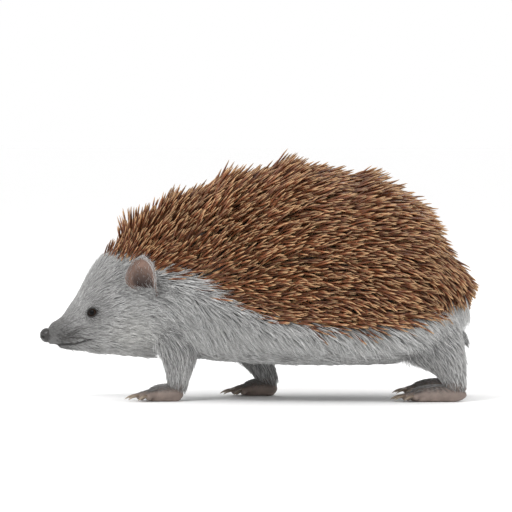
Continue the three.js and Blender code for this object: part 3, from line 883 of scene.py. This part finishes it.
def scatter(form, weight, count, seed):
    """Even roots on a surface. A low-discrepancy sequence picks the ring by its share of weighted
    area, then the place round the ring in the same way, so that the roots lie evenly spaced."""
    points = form.points
    sides = points.shape[1]
    around = (np.roll(points, -1, axis=1) - points)[:-1]
    area = np.linalg.norm(np.cross(np.diff(points, axis=0), around), axis=-1) * weight[:-1]
    ring_total = np.cumsum(area.sum(axis=1))
    n = np.arange(count) + 0.5 + 1000 * seed
    first = (n / PLASTIC_NUMBER) % 1 * ring_total[-1]
    ring = np.searchsorted(ring_total, first)
    before = np.where(ring > 0, ring_total[ring - 1], 0)
    down = (first - before) / np.maximum(ring_total[ring] - before, 1e-15)
    row = np.cumsum(area, axis=1)[ring]
    target = (n / PLASTIC_NUMBER**2) % 1 * row[:, -1]
    side = np.sum(row < target[:, None], axis=1)
    each = np.arange(count)
    start = np.where(side > 0, row[each, side - 1], 0)
    over = (target - start) / np.maximum(row[each, side] - start, 1e-15)

    def blend(grid):
        near, far = (
            mix(grid[at, side], grid[at, (side + 1) % sides], over[:, None]) for at in (ring, ring + 1)
        )
        return mix(near, far, down[:, None])

    left, bottom, right, top = form.chart
    patch = np.stack([
        mix(left, right, (side + over) / sides),
        mix(bottom, top, (ring + down) / (len(points) - 1)),
    ], axis=-1)
    return Roots(blend(points), unit(blend(form.normals)), unit(blend(form.flow)), patch)


def keep(whole, chosen):
    """The chosen ones of roots, or of strands together with their roots."""
    parts = (keep(part, chosen) if isinstance(part, Roots) else part[chosen] for part in whole)
    return type(whole)(*parts)


def join_roots(parts):
    """Several sets of roots as one."""
    return Roots(*map(np.concatenate, zip(*parts)))


def noise(roots, seed, spread):
    """A number for each root, normally distributed about 0 and always the same for one seed."""
    return np.random.default_rng(seed).normal(0, spread, len(roots.points))


def steepness(roots):
    """0 where the skin lies flat and 1 where it is upright."""
    return 1 - np.abs(roots.normals[:, 2])


def comb(roots, raised, droop, turn):
    """The way each strand points: along the surface's flow, drawn down by droop, turned about the
    normal by turn and raised from the skin, both in degrees."""
    raised, droop, turn = (np.reshape(value, (-1, 1)) for value in (raised, droop, turn))
    raised, turn = np.radians(raised), np.radians(turn)
    down = np.array([0, 0, -1.0]) + roots.normals * roots.normals[:, 2:3]
    lie = roots.flow - roots.normals * np.sum(roots.flow * roots.normals, axis=1, keepdims=True)
    lie = unit(unit(lie) + droop * down)
    lie = np.cos(turn) * lie + np.sin(turn) * np.cross(roots.normals, lie)
    return unit(np.cos(raised) * lie + np.sin(raised) * roots.normals)


def hanging(roots):
    """Roots whose flow turns, over the rump, from backwards to down and a little outwards."""
    behind = smooth_step(0.28, 0.45, roots.points[:, :1] / LENGTH)
    down = np.array([0.3, 0, -1.0]) + 0.012 / MM * roots.points * [0, 1, 0]
    return roots._replace(flow=unit(mix(roots.flow, unit(down), behind)))


def gather(strands, every, pull):
    """Draws strands into locks: each one's end leans towards the tip of the nearest lock's leader,
    and one strand in every so many is a leader."""
    places, length = strands.roots.points, strands.length[:, None]
    tips = (places + (strands.first + strands.last) / 2 * length)[::every]
    nearest = np.empty(len(places), int)
    for start in range(0, len(places), GATHER_BLOCK):
        part = slice(start, start + GATHER_BLOCK)
        gaps = np.sum((places[part, None] - places[None, ::every]) ** 2, axis=-1)
        nearest[part] = np.argmin(gaps, axis=1)
    aim = (tips[nearest] - places) / length * 2 - strands.first
    return strands._replace(last=unit(mix(strands.last, unit(aim), pull)))


def grow(name, strands, profile, material, slot="fur"):
    """Makes a piece of tapered strands. A strand's middle line starts along first and ends along
    last, so at share t it is at root + length (first (t - t²/2) + last t²/2), and rings of the
    profile's girths stand across it at the profile's stops, up to a point at its tip."""
    roots, first, last, length, radius = strands
    sides, stops, girths = profile
    count, rings = len(length), len(stops)
    t = np.array(stops)[None, :, None]
    start = roots.points - first * ROOT_DEPTH
    line = first[:, None] * (t - t * t / 2) + last[:, None] * (t * t / 2)
    middle = start[:, None] + length[:, None, None] * line
    across = unit(np.cross(first, roots.normals + 0.01 * first[:, ::-1]))[:, None]
    second = np.cross(unit(mix(first[:, None], last[:, None], t)), across)
    turn = np.linspace(0, 2 * np.pi, sides, endpoint=False)[:, None]
    ring = np.cos(turn) * across[:, :, None] + np.sin(turn) * second[:, :, None]
    size = np.reshape(radius, (-1, 1, 1, 1)) * np.array(girths)[:, None, None]
    grid = (middle[:, :, None] + size * ring).reshape(count, -1, 3)
    tip = start + length[:, None] * (first + last) / 2
    points = np.concatenate([grid, tip[:, None]], axis=1)
    each = points.shape[1]
    top = cap_faces((rings - 1) * sides, sides, rings * sides)
    faces = facing_out(points[0], [ring_faces(rings, sides), top, np.arange(sides)[None, ::-1]])
    offset = (np.arange(count) * each)[:, None, None]
    faces = [(block + offset).reshape(-1, block.shape[1]) for block in faces]
    piece = make_piece(name, points.reshape(-1, 3), faces, material)
    along = np.tile([*np.repeat(stops, sides), 1.0], count)
    around = np.tile([*np.tile(np.arange(sides), rings), 0], count) / sides
    set_attributes(
        piece.data, along=along, tint=np.repeat((np.arange(count) * GOLDEN_SHARE) % 1, each),
        tone=np.repeat(coat_tone(roots.points), each),
    )
    # The OFBake map: each strand is a small square at its root's place on the skin's unwrap, root
    # to tip upwards and round the strand sideways.
    square = TUFT_PATCH * (np.stack([around, along], axis=-1) - 0.5)
    corners = read(piece.data.loops, "vertex_index", 1, np.int32)
    places = (np.repeat(roots.patch, each, axis=0) + square)[corners]
    piece.data.uv_layers.new(name="OFBake").data.foreach_set("uv", places.astype(np.float32).ravel())
    finish_piece(piece, slot)


def grow_pieces(name, strands, pieces, profile, material, slot="fur"):
    """Makes a coat in several pieces along the body."""
    x = strands.roots.points[:, 0] / MM
    for piece, (start, end) in pieces.items():
        grow(f"{name}_{piece}", keep(strands, (x >= start) & (x < end)), profile, material, slot)


# -------- materials


def scaled(color, factor):
    """A colour made darker or lighter by a factor."""
    return tuple(factor * part for part in color)


class Finish:
    """A node material, and short ways to add nodes to it. Wherever a value is given, it may be a
    number, a colour, or the output of another node."""

    def __init__(self, name):
        self.material = bpy.data.materials.new(name)
        self.material.use_nodes = True
        self.tree = self.material.node_tree

    def fill(self, node, inputs):
        """Links or sets a node's inputs, and returns its outputs."""
        for key, value in inputs.items():
            if isinstance(value, bpy.types.NodeSocket):
                self.tree.links.new(value, node.inputs[key])
            else:
                node.inputs[key].default_value = (*value, 1) if isinstance(value, tuple) else value
        return node.outputs

    def node(self, kind, inputs, **properties):
        """Adds a node, and returns its outputs."""
        node = self.tree.nodes.new(f"ShaderNode{kind}")
        for key, value in properties.items():
            setattr(node, key, value)
        return self.fill(node, inputs)

    def attribute(self, name):
        """A number that the mesh holds at each point."""
        return self.node("Attribute", {}, attribute_name=name)["Fac"]

    def ramp(self, name, *stops):
        """A colour that follows an attribute through (place, colour) stops."""
        node = self.tree.nodes.new("ShaderNodeValToRGB")
        elements = node.color_ramp.elements
        while len(elements) < len(stops):
            elements.new(0.5)
        for element, (place, color) in zip(elements, stops):
            element.position = place
            element.color = (*color, 1)
        return self.fill(node, {"Fac": self.attribute(name)})["Color"]

    def blend(self, factor, a, b, kind="MIX"):
        """Two colours, mixed or multiplied by a factor."""
        return self.node("Mix", {0: factor, 6: a, 7: b}, data_type="RGBA", blend_type=kind)[2]

    def texture(self, scale, kind="Noise", output="Fac", **inputs):
        """A noise or cell texture in Object coordinates, its scale in cells for each metre."""
        place = self.node("TexCoord", {})["Object"]
        return self.node(f"Tex{kind}", {"Vector": place, "Scale": scale, **inputs})[output]

    def bump(self, height, strength, distance=0.0001):
        """A relief of the given height, times distance in metres."""
        return self.node("Bump", {"Height": height, "Strength": strength, "Distance": distance})["Normal"]

    def tinted(self, color, dark, light):
        """A colour made darker or lighter from strand to strand."""
        return self.blend(1.0, color, self.ramp("tint", (0, (dark,) * 3), (1, (light,) * 3)), "MULTIPLY")

    def marked(self, color, darkest):
        """A colour made darker or paler by the markings."""
        shade = self.ramp("tone", (0, darkest), (0.5, (1.0, 1.0, 1.0)), (1, (1.6, 1.58, 1.52)))
        return self.blend(1.0, color, shade, "MULTIPLY")

    def shaded(self, color, roughness, **inputs):
        """The finished material, with the shader's colour, roughness and other inputs, in whose
        names an underscore stands for a space."""
        inputs = {key.replace("_", " "): value for key, value in inputs.items()}
        shader = self.tree.nodes["Principled BSDF"]
        self.fill(shader, {"Base Color": color, "Roughness": roughness, **inputs})
        return self.material


def quill_material(settings):
    """Horn quills: a pale root, a broad dark band with soft edges and a pale tip."""
    finish = Finish("quill_horn")
    dark, pale = tuple(settings.quill_dark), tuple(settings.quill_pale)
    color = finish.ramp(
        "along", (0, scaled(pale, 0.35)), (0.3, pale), (0.44, dark), (0.6, scaled(dark, 0.55)),
        (0.78, dark), (0.9, scaled(pale, 0.8)), (1, pale),
    )
    grain = finish.texture(1400)
    color = finish.blend(0.35, finish.tinted(color, 0.55, 1.35), grain, "MULTIPLY")
    return finish.shaded(color, 0.42, Specular_IOR_Level=0.45, Normal=finish.bump(grain, 0.4))


def fur_material(settings):
    """Fur: darker at the root than at the tip, varied from hair to hair and by the markings."""
    finish = Finish("fur_hair")
    root, tip = tuple(settings.fur_root), tuple(settings.fur_tip)
    color = finish.ramp("along", (0, scaled(root, 0.45)), (0.45, root), (1, tip))
    color = finish.marked(finish.tinted(color, 0.62, 1.3), (0.1, 0.095, 0.09))
    return finish.shaded(color, 0.68, Specular_IOR_Level=0.25)


def skin_material(settings):
    """Skin: under the coat it takes the coat's colour and markings, with fine short hair as streaks. Nose,
    lids, lips, ears and feet have their own colours, the ear's hollow and the nostril pits are darkened as
    painted shade, and the nose is wet and pebbled."""
    finish = Finish("hedgehog_skin")
    fur = tuple(settings.fur_tip)
    color = finish.blend(finish.texture(900, Detail=6), scaled(fur, 0.2), scaled(fur, 0.45))
    color = finish.marked(color, (0.12, 0.115, 0.11))
    blotches = finish.texture(260)
    ear = finish.blend(blotches, (0.11, 0.065, 0.048), (0.27, 0.165, 0.125))
    # painted shade: the ear's hollow goes nearly black
    ear = finish.blend(finish.attribute("hollow"), ear, (0.035, 0.018, 0.013))
    foot = finish.blend(blotches, (0.13, 0.1, 0.085), (0.27, 0.21, 0.18))
    for mask, over in (
        ("spiny", (0.045, 0.028, 0.02)),
        ("ear", ear),
        ("foot", foot),
        ("nose", (0.024, 0.021, 0.02)),
        # dark lids and lips, and painted shade in the nostril pits
        ("dark", (0.009, 0.008, 0.007)),
    ):
        color = finish.blend(finish.attribute(mask), color, over)
    nose = finish.attribute("nose")
    rough = finish.node("MapRange", {"Value": nose, "To Min": 0.62, "To Max": 0.24})["Result"]
    wrinkles = finish.node("Math", {0: finish.texture(1500), 1: 4}, operation="MULTIPLY")["Value"]
    pebbles = finish.texture(2600, "Voronoi", "Distance")
    relief = finish.node("Mix", {0: nose, 2: wrinkles, 3: pebbles})[0]
    return finish.shaded(color, rough, Normal=finish.bump(relief, 0.7, 0.00008))


def eye_material():
    """A wet, nearly black eye with a dim brown iris round a wide pupil."""
    finish = Finish("wet_eye")
    pupil = (0.002, 0.002, 0.002)
    color = finish.ramp(
        "from_pupil", (0, pupil), (0.42, pupil), (0.5, (0.02, 0.01, 0.005)),
        (0.72, (0.012, 0.006, 0.004)), (0.8, (0.003, 0.002, 0.002)),
    )
    return finish.shaded(color, 0.04, Specular_IOR_Level=0.1)


def claw_material():
    """Claw horn: pinkish brown at the root, through grey-brown, to a pale worn tip."""
    finish = Finish("claw_horn")
    color = finish.ramp(
        "along", (0, (0.16, 0.1, 0.075)), (0.35, (0.2, 0.15, 0.11)), (0.8, (0.4, 0.32, 0.23)),
        (1, (0.55, 0.47, 0.36)),
    )
    grain = finish.texture(2200)
    return finish.shaded(finish.blend(0.4, color, grain, "MULTIPLY"), 0.32, Normal=finish.bump(grain, 0.5))


def whisker_material():
    """Stiff dark bristles."""
    finish = Finish("whisker")
    color = finish.ramp(
        "along", (0, (0.012, 0.01, 0.009)), (0.7, (0.04, 0.034, 0.03)), (1, (0.16, 0.14, 0.12)))
    return finish.shaded(color, 0.35)


def floor_material(settings):
    """A plain matt floor with a hardly visible grain."""
    finish = Finish("studio_floor")
    color = tuple(settings.floor_color)
    return finish.shaded(finish.blend(finish.texture(40), scaled(color, 0.995), color), 0.9)


# -------- settings


def number_setting(name, description, default, least=500):
    """A number of quills or hairs that a user may change."""
    return IntProperty(name=name, description=description, default=default, min=least)


def size_setting(name, description, default, least):
    """A size in metres that a user may change."""
    return FloatProperty(name=name, description=description, default=default, min=least,
                         unit="LENGTH", subtype="DISTANCE")


def color_setting(name, description, default):
    """A colour that a user may change."""
    return FloatVectorProperty(name=name, description=description, default=default, min=0, max=1,
                               subtype="COLOR")


class HedgehogSettings(bpy.types.PropertyGroup):
    """How many quills and hairs there are, how large, and in which colours"""

    quill_count: number_setting("Quills", "How many quills stand on the back", 6600)
    quill_length: size_setting("Quill length", "Length of a quill of the back", 22 * MM, 0.005)
    quill_radius: size_setting("Quill radius", "Greatest radius of a quill", 0.58 * MM, 0.0001)
    fur_count: number_setting("Body hairs", "How many hairs cover flanks, belly and neck", 34000)
    face_count: number_setting("Face hairs", "How many hairs cover the head", 20000)
    limb_count: number_setting("Leg hairs", "How many hairs cover each leg", 2200, 100)
    quill_dark: color_setting("Quill band", "Colour of a quill's dark band", (0.235, 0.077, 0.027))
    quill_pale: color_setting("Quill ends", "Colour of a quill's root and tip", (0.62, 0.37, 0.185))
    fur_root: color_setting("Fur root", "Colour of the fur near the skin", (0.46, 0.455, 0.45))
    fur_tip: color_setting("Fur tip", "Colour of the fur's ends", (0.8, 0.8, 0.79))
    floor_color: color_setting("Floor", "Colour of the floor", (1.0, 1.0, 1.0))
    camera_distance: size_setting(
        "Camera distance", "From the camera to the middle of the body", 2.4, 0.5)
    camera_rise: FloatProperty(
        name="Camera elevation", description="How far the camera looks down", default=math.radians(1.6),
        unit="ROTATION", subtype="ANGLE")


# -------- operators


class HEDGEHOG_OT_skin(bpy.types.Operator):
    """Makes the one skin that replaces the solids of flesh"""

    bl_idname = "hedgehog.skin"
    bl_label = "Skin"

    def execute(self, context):
        skin = build_skin()
        skin.data.materials.clear()
        skin.data.materials.append(skin_material(context.scene.hedgehog))
        legs = [f"{name}_{part}" for name in LEGS for part in ("leg", "foot")]
        finish_piece(skin, "fur", "mantle", "head", "lower_jaw", "neck", "trunk", "tail", "nose",
                     "left_ear", "right_ear", *legs)
        return {"FINISHED"}


class HEDGEHOG_OT_eyes(bpy.types.Operator):
    """Makes both eyeballs, each with a slightly bulging front"""

    bl_idname = "hedgehog.eyes"
    bl_label = "Eyes"

    def execute(self, context):
        material = eye_material()
        for side in SIDES:
            axis = eye_frame(side)[0]
            points = ellipsoid(0, 1, 48, 64)
            bulge = 0.06 * smooth_step(0.9, 0.35, angle_from(axis, points))
            points, faces = closed_form(points * (EYE_RADIUS * (1 + bulge))[..., None])
            eye = make_piece(f"{side}_eyeball", points + EYES[side], faces, material)
            away = angle_from(axis, unit(points))
            set_attributes(eye.data, from_pupil=np.clip(away / 1.2, 0, 1))
            finish_piece(eye, "eye", f"{side}_eye")
        return {"FINISHED"}


class HEDGEHOG_OT_claws(bpy.types.Operator):
    """Makes the claws of each foot: curved, narrow cones"""

    bl_idname = "hedgehog.claws"
    bl_label = "Claws"

    def execute(self, context):
        material = claw_material()
        along = np.repeat(np.linspace(0, 1, CLAW_RINGS), CLAW_SIDES)
        for name in LEGS:
            nodes = [f"{name}_claw_{index}" for index in range(1, 6)]
            forms = [closed_form(claw_rings(*each)) for each in zip(nodes, toe_lines(name)[1])]
            claws = make_piece(f"{name}_claws", *joined(forms), material)
            set_attributes(claws.data, along=np.tile([*along, 0, 1], len(nodes)))
            finish_piece(claws, "claw", *nodes)
        return {"FINISHED"}


class HEDGEHOG_OT_quills(bpy.types.Operator):
    """Makes the quills of the back, in three pieces from the crown to the rump"""

    bl_idname = "hedgehog.quills"
    bl_label = "Quills"

    def execute(self, context):
        settings = context.scene.hedgehog
        material = quill_material(settings)
        body = body_surface()
        x, up = body.points[..., 0] / MM, body.normals[..., 2]
        weight = smooth_step(1, 5, above_quill_line(body.points, body.normals))
        weight = weight * smooth_step(-91, -86, x) * mix(1.8, 1.0, smooth_step(-80, -50, x))
        weight = weight * (1 + 0.9 * bell(x, -60, 15) * smooth_step(0.3, 0.9, up))
        roots = hanging(scatter(body, weight, settings.quill_count, 1))
        x, up = roots.points[:, 0] / MM, roots.normals[:, 2]
        edge = smooth_step(22, 2, above_quill_line(roots.points, roots.normals))
        crown = smooth_step(-46, -84, x) * smooth_step(0.2, 0.7, up)
        rump = smooth_step(80, 112, x)
        tip_share = (x + tip_back(x)) * MM / LENGTH
        ridge = sum(bell(tip_share, place, RIDGE_WIDTH) for place in RIDGES)
        ridge = mix(0.35, ridge, smooth_step(0.15, 0.7, up))
        raised = 24 + 15 * ridge - 10 * rump + noise(roots, 11, 6) * (1 - 0.4 * rump)
        raised = mix(raised, 22 - 12 * rump, 0.75 * edge)
        raised = mix(raised, 52 + 12 * ridge + noise(roots, 12, 8), crown)
        droop = mix(-0.5, 0.3, smooth_step(-60, 95, x)) + 0.55 * edge
        turn = noise(roots, 13, 15)
        first = comb(roots, raised, droop * steepness(roots), turn)
        last = comb(roots, raised - QUILL_BEND, (droop + 0.12) * steepness(roots), turn)
        length = settings.quill_length * (1 - 0.38 * crown) * (1 - (0.2 + 0.15 * rump) * edge)
        length = length * (0.91 + (0.12 + 0.33 * crown) * ridge) * (1 + noise(roots, 14, 0.06))
        reach = length[:, None] * (first + last) / 2
        low = np.maximum(66 * MM - roots.points[:, 2] - reach[:, 2], 0)
        over = roots.points[:, 0] + reach[:, 0] - (LENGTH / 2 + 1.5 * MM - 0.45 * low)
        length = length * np.clip(1 - np.maximum(over, 0) / np.maximum(reach[:, 0], MM), 0.6, 1)
        radius = settings.quill_radius * (1 - 0.3 * crown) * (1 + noise(roots, 15, 0.08))
        strands = gather(Strands(roots, first, last, length, radius), 26, 0.16)
        grow_pieces("quills", strands, QUILL_PIECES, QUILL, material, "quills")
        return {"FINISHED"}


class HEDGEHOG_OT_body_fur(bpy.types.Operator):
    """Makes the long coarse fur of neck, chest, flanks and belly"""

    bl_idname = "hedgehog.body_fur"
    bl_label = "Body fur"

    def execute(self, context):
        settings = context.scene.hedgehog
        material = fur_material(settings)
        body = body_surface()
        weight = smooth_step(9, 3, above_quill_line(body.points, body.normals))
        weight = weight * smooth_step(-78, -70, body.points[..., 0] / MM)
        weight = weight * mix(1.0, 0.6, smooth_step(0.5, 1.0, -body.normals[..., 2]))
        roots = hanging(scatter(body, weight, settings.fur_count, 3))
        roots = keep(roots, clear_of_legs(roots.points))
        share = roots.points[:, 0] / LENGTH
        under = smooth_step(0.3, 0.95, -roots.normals[:, 2])
        behind = smooth_step(0.36, 0.48, share)
        raised = (24 + noise(roots, 22, 6)) * mix(1.0, 0.75, under) * (1 - 0.4 * behind)
        hang = mix(0.2, 1.0, smooth_step(-0.31, -0.12, share)) * steepness(roots)
        turn = noise(roots, 23, 12)
        first = comb(roots, raised, 0.9 * hang, turn)
        last = comb(roots, 0.35 * raised, 1.6 * hang, turn + noise(roots, 24, 8))
        length = fur_length(share) * MM * mix(1.0, 0.52, under) * (1 + noise(roots, 21, 0.12))
        radius = BODY_HAIR * MM * (1 + noise(roots, 25, 0.15))
        strands = gather(Strands(roots, first, last, length, radius), 14, 0.42)
        grow_pieces("body_fur", strands, FUR_PIECES, LONG_HAIR, material)
        return {"FINISHED"}


class HEDGEHOG_OT_face_fur(bpy.types.Operator):
    """Makes the short fur of muzzle, cheeks and brow"""

    bl_idname = "hedgehog.face_fur"
    bl_label = "Face fur"

    def execute(self, context):
        settings = context.scene.hedgehog
        material = fur_material(settings)
        body = body_surface()
        x = body.points[..., 0] / MM
        weight = smooth_step(8, 2, above_quill_line(body.points, body.normals))
        weight = weight * smooth_step(-66, -74, x) * smooth_step(-121.7, -121, x)
        weight = weight * mix(2.4, 1.0, smooth_step(-116, -92, x))
        roots = scatter(body, weight, settings.face_count, 5)
        clear = (from_eyes(roots.points) > 5.0) & (mouth_groove(roots.points) < 0.3)
        lids = (scatter(*lid_surface(side), 760, 8) for side in SIDES)
        roots = join_roots([keep(roots, clear), *lids])
        x, z = roots.points[:, 0] / MM, roots.points[:, 2] / MM
        share = roots.points[:, 0] / LENGTH
        near_eye = smooth_step(13, 3.6, from_eyes(roots.points))
        raised = 13 + 14 * smooth_step(-0.4, -0.32, share) + noise(roots, 32, 4)
        raised = raised * mix(1.0, 0.7, near_eye)
        turn = noise(roots, 33, 9)
        first = comb(roots, raised, 0.18 * steepness(roots), turn)
        last = comb(roots, 0.4 * raised, 0.42 * steepness(roots), turn + noise(roots, 34, 7))
        top = smooth_step(0.2, 0.8, roots.normals[:, 2]) * smooth_step(-0.42, -0.36, share)
        lip = smooth_step(2.5, 0.5, np.abs(z - mouth_height(x))) * smooth_step(-0.38, -0.4, share)
        length = fur_length(share) * MM * (1 + noise(roots, 31, 0.12)) * mix(1.0, 0.34, near_eye)
        length = length * (1 + 0.15 * top) * (1 - 0.45 * lip)
        radius = mix(*FACE_HAIR, smooth_step(-0.45, -0.32, share)) * (1 + noise(roots, 35, 0.12))
        strands = gather(Strands(roots, first, last, length, radius * MM), 9, 0.3)
        for side, sign in SIDES.items():
            chosen = (roots.points[:, 1] >= 0) == (sign > 0)
            grow(f"face_fur_{side}", keep(strands, chosen), SHORT_HAIR, material)
        return {"FINISHED"}


class HEDGEHOG_OT_limb_fur(bpy.types.Operator):
    """Makes the fur of legs and tail"""

    bl_idname = "hedgehog.limb_fur"
    bl_label = "Leg and tail fur"

    def execute(self, context):
        settings = context.scene.hedgehog
        material = fur_material(settings)
        forms = [(name, leg_surface(name), settings.limb_count, 8.5, LEG_HAIR) for name in LEGS]
        forms.append(("tail", tail_surface(), 500, 3.6, TAIL_HAIR))
        for seed, (name, form, count, longest, thick) in enumerate(forms, 40):
            roots = scatter(form, np.ones(form.points.shape[:2]), count, seed)
            roots = keep(roots, clear_of_body(roots.points) & (roots.points[:, 2] > 5 * MM))
            height = roots.points[:, 2] / MM
            aside = smooth_step(22, 40, height)[:, None]
            roots = roots._replace(flow=unit(mix(roots.flow, np.array([0.75, 0, -0.66]), aside)))
            raised, turn = 20 + noise(roots, seed + 20, 5), noise(roots, seed + 40, 12)
            first = comb(roots, raised, 0, turn)
            last = comb(roots, 0.3 * raised, 0.4, turn)
            length = longest * MM * mix(0.5, 1.0, smooth_step(6, 26, height))
            length = length * (1 + noise(roots, seed, 0.12))
            strands = gather(Strands(roots, first, last, length, thick * MM), 10, 0.35)
            grow(f"{name}_fur", strands, SHORT_HAIR, material)
        return {"FINISHED"}


class HEDGEHOG_OT_foot_fur(bpy.types.Operator):
    """Makes the sparse short hair on the upper side of the feet"""

    bl_idname = "hedgehog.foot_fur"
    bl_label = "Foot fur"

    def execute(self, context):
        material = fur_material(context.scene.hedgehog)
        for seed, name in enumerate(LEGS, 70):
            left, bottom, right, top = CHARTS[f"{name}_foot"]
            sole, *others = foot_forms(name)
            strips = np.linspace(bottom, top, 7)
            parts = []
            for number, points in enumerate([sole, *others[-5:]]):
                form = surface(points, (left, strips[number], right, strips[number + 1]))
                form = form._replace(flow=np.broadcast_to([-0.94, 0, -0.34], points.shape))
                weight = smooth_step(2.6, 8.0, points[..., 2] / MM)
                weight = weight * smooth_step(-0.1, 0.5, form.normals[..., 2])
                parts.append(scatter(form, weight, 90 if number else 520, seed))
            roots = join_roots(parts)
            turn = noise(roots, seed, 14)
            first = comb(roots, 16 + noise(roots, seed + 10, 4), 0, turn)
            last = comb(roots, 3, 0, turn)
            high = smooth_step(3.0, 8.5, roots.points[:, 2] / MM)
            length = mix(0.9, 3.2, high) * MM * (1 + noise(roots, seed + 20, 0.15))
            strands = Strands(roots, first, last, length, mix(*FOOT_HAIR, high) * MM)
            grow(f"{name}_foot_fur", strands, SHORT_HAIR, material)
        return {"FINISHED"}


class HEDGEHOG_OT_ear_fur(bpy.types.Operator):
    """Makes the fine hair of the ears, thickest on their backs and rims"""

    bl_idname = "hedgehog.ear_fur"
    bl_label = "Ear fur"

    def execute(self, context):
        material = fur_material(context.scene.hedgehog)
        for seed, side in enumerate(SIDES, 90):
            form = ear_surface(side)
            across, along, thick = ball(*form.points.shape[:2])
            rim = smooth_step(0.8, 0.95, np.hypot(across, along))
            base = smooth_step(-0.35, -0.7, along) * smooth_step(0.1, 0.5, np.abs(across))
            weight = mix(1.0, 0.07 + np.maximum(0.9 * rim, 1.6 * base), smooth_step(-0.1, 0.5, thick))
            roots = scatter(form, weight * smooth_step(-1.0, -0.8, along), 2100, seed)
            turn = noise(roots, seed, 10)
            first = comb(roots, 18 + noise(roots, seed + 10, 5), 0, turn)
            last = comb(roots, 5, 0, turn)
            axes, base = ear_frame(side)
            up = (roots.points - base) @ axes[1] / MM
            length = mix(6.0, 2.9, smooth_step(0, 9, up)) * MM * (1 + noise(roots, seed + 20, 0.2))
            strands = Strands(roots, first, last, length, EAR_HAIR * MM)
            grow(f"{side}_ear_fur", strands, SHORT_HAIR, material)
        return {"FINISHED"}


class HEDGEHOG_OT_whiskers(bpy.types.Operator):
    """Makes the whiskers of the muzzle"""

    bl_idname = "hedgehog.whiskers"
    bl_label = "Whiskers"

    def execute(self, context):
        body = body_surface()
        x, z = body.points[..., 0] / MM, body.points[..., 2] / MM
        weight = bell(x, -110, 5.5) * bell(z, 35.2, 2.6) * (x > -117)
        weight += 0.03 * bump_at(body.points, EYES["right"] + mm(-1, -1, 6.5), 2.2 * MM)
        roots = scatter(body, weight, 76, 7)
        turn = noise(roots, 51, 14)
        first = comb(roots, 34 + noise(roots, 52, 8), 0.05, turn)
        last = comb(roots, 16 + noise(roots, 53, 6), 0.3, turn)
        length = np.clip(20 + noise(roots, 54, 5), 9, 30) * MM
        strands = Strands(roots, first, last, length, WHISKER_HAIR * MM)
        grow("whiskers", strands, WHISKER, whisker_material())
        return {"FINISHED"}


class HEDGEHOG_OT_stage(bpy.types.Operator):
    """Makes the floor, the lights and the camera"""

    bl_idname = "hedgehog.stage"
    bl_label = "Stage"

    def execute(self, context):
        turn = np.linspace(0, 2 * np.pi, 64, endpoint=False)
        rim = 60 * np.stack([np.cos(turn), np.sin(turn), 0 * turn], axis=-1)
        make_piece("floor", rim, [np.arange(64)[None]], floor_material(context.scene.hedgehog))
        world = bpy.data.worlds.new("studio")
        world.use_nodes = True
        world.node_tree.nodes["Background"].inputs["Color"].default_value = (1, 1, 1, 1)
        context.scene.world = world
        target = Vector((0, 0, 0.5 * HEIGHT))
        for name, place, size, power in LIGHTS:
            light = bpy.data.lights.new(name, "AREA")
            light.energy, light.size = power, size
            lamp = self.place(context, name, light, Vector(place))
            lamp.rotation_euler = (target - lamp.location).to_track_quat("-Z", "Y").to_euler()
        self.add_camera(context)
        return {"FINISHED"}

    def place(self, context, name, data, location):
        """Puts a light or a camera into the scene."""
        thing = bpy.data.objects.new(name, data)
        context.scene.collection.objects.link(thing)
        thing.location = location
        return thing

    def add_camera(self, context):
        """Looks along +Y from a little above, so that the body spans seven eighths of the frame."""
        distance, rise = context.scene.hedgehog.camera_distance, context.scene.hedgehog.camera_rise
        camera = bpy.data.cameras.new("camera")
        camera.sensor_width = 36
        camera.lens = camera.sensor_width * distance / (LENGTH * 1.163)
        camera.clip_end = 200
        aim = Vector((-0.009 * LENGTH, 0, 0.582 * HEIGHT))
        eye = aim + distance * Vector((0, -math.cos(rise), math.sin(rise)))
        context.scene.camera = self.place(context, "camera", camera, eye)
        context.scene.camera.rotation_euler = (math.pi / 2 - rise, 0, 0)
        context.scene.view_settings.view_transform = "Standard"


class HEDGEHOG_PT_panel(bpy.types.Panel):
    """Lists the pieces of the hedgehog and their settings"""

    bl_idname = "HEDGEHOG_PT_panel"
    bl_label = "Hedgehog"
    bl_space_type = "VIEW_3D"
    bl_region_type = "UI"
    bl_category = "Hedgehog"

    def draw(self, context):
        """Shows each setting, and below them a button for each piece."""
        settings = context.scene.hedgehog
        for name in settings.bl_rna.properties.keys():
            if name not in {"rna_type", "name"}:
                self.layout.prop(settings, name)
        for operator in OPERATORS:
            self.layout.operator(operator.bl_idname)


OPERATORS = (
    HEDGEHOG_OT_stage, HEDGEHOG_OT_skin, HEDGEHOG_OT_eyes, HEDGEHOG_OT_claws, HEDGEHOG_OT_quills,
    HEDGEHOG_OT_body_fur, HEDGEHOG_OT_face_fur, HEDGEHOG_OT_limb_fur, HEDGEHOG_OT_foot_fur,
    HEDGEHOG_OT_ear_fur, HEDGEHOG_OT_whiskers,
)
CLASSES = (HedgehogSettings, *OPERATORS, HEDGEHOG_PT_panel)


def register():
    """Registers the classes, and gives the scene its settings."""
    for cls in CLASSES:
        bpy.utils.register_class(cls)
    bpy.types.Scene.hedgehog = PointerProperty(type=HedgehogSettings)


def unregister():
    """Takes the settings from the scene, and the classes back in reverse order."""
    del bpy.types.Scene.hedgehog
    for cls in reversed(CLASSES):
        bpy.utils.unregister_class(cls)


def main():
    """Makes every piece and the stage."""
    register()
    for operator in OPERATORS:
        getattr(bpy.ops.hedgehog, operator.bl_idname.split(".")[1])()


if __name__ == "__main__":
    main()
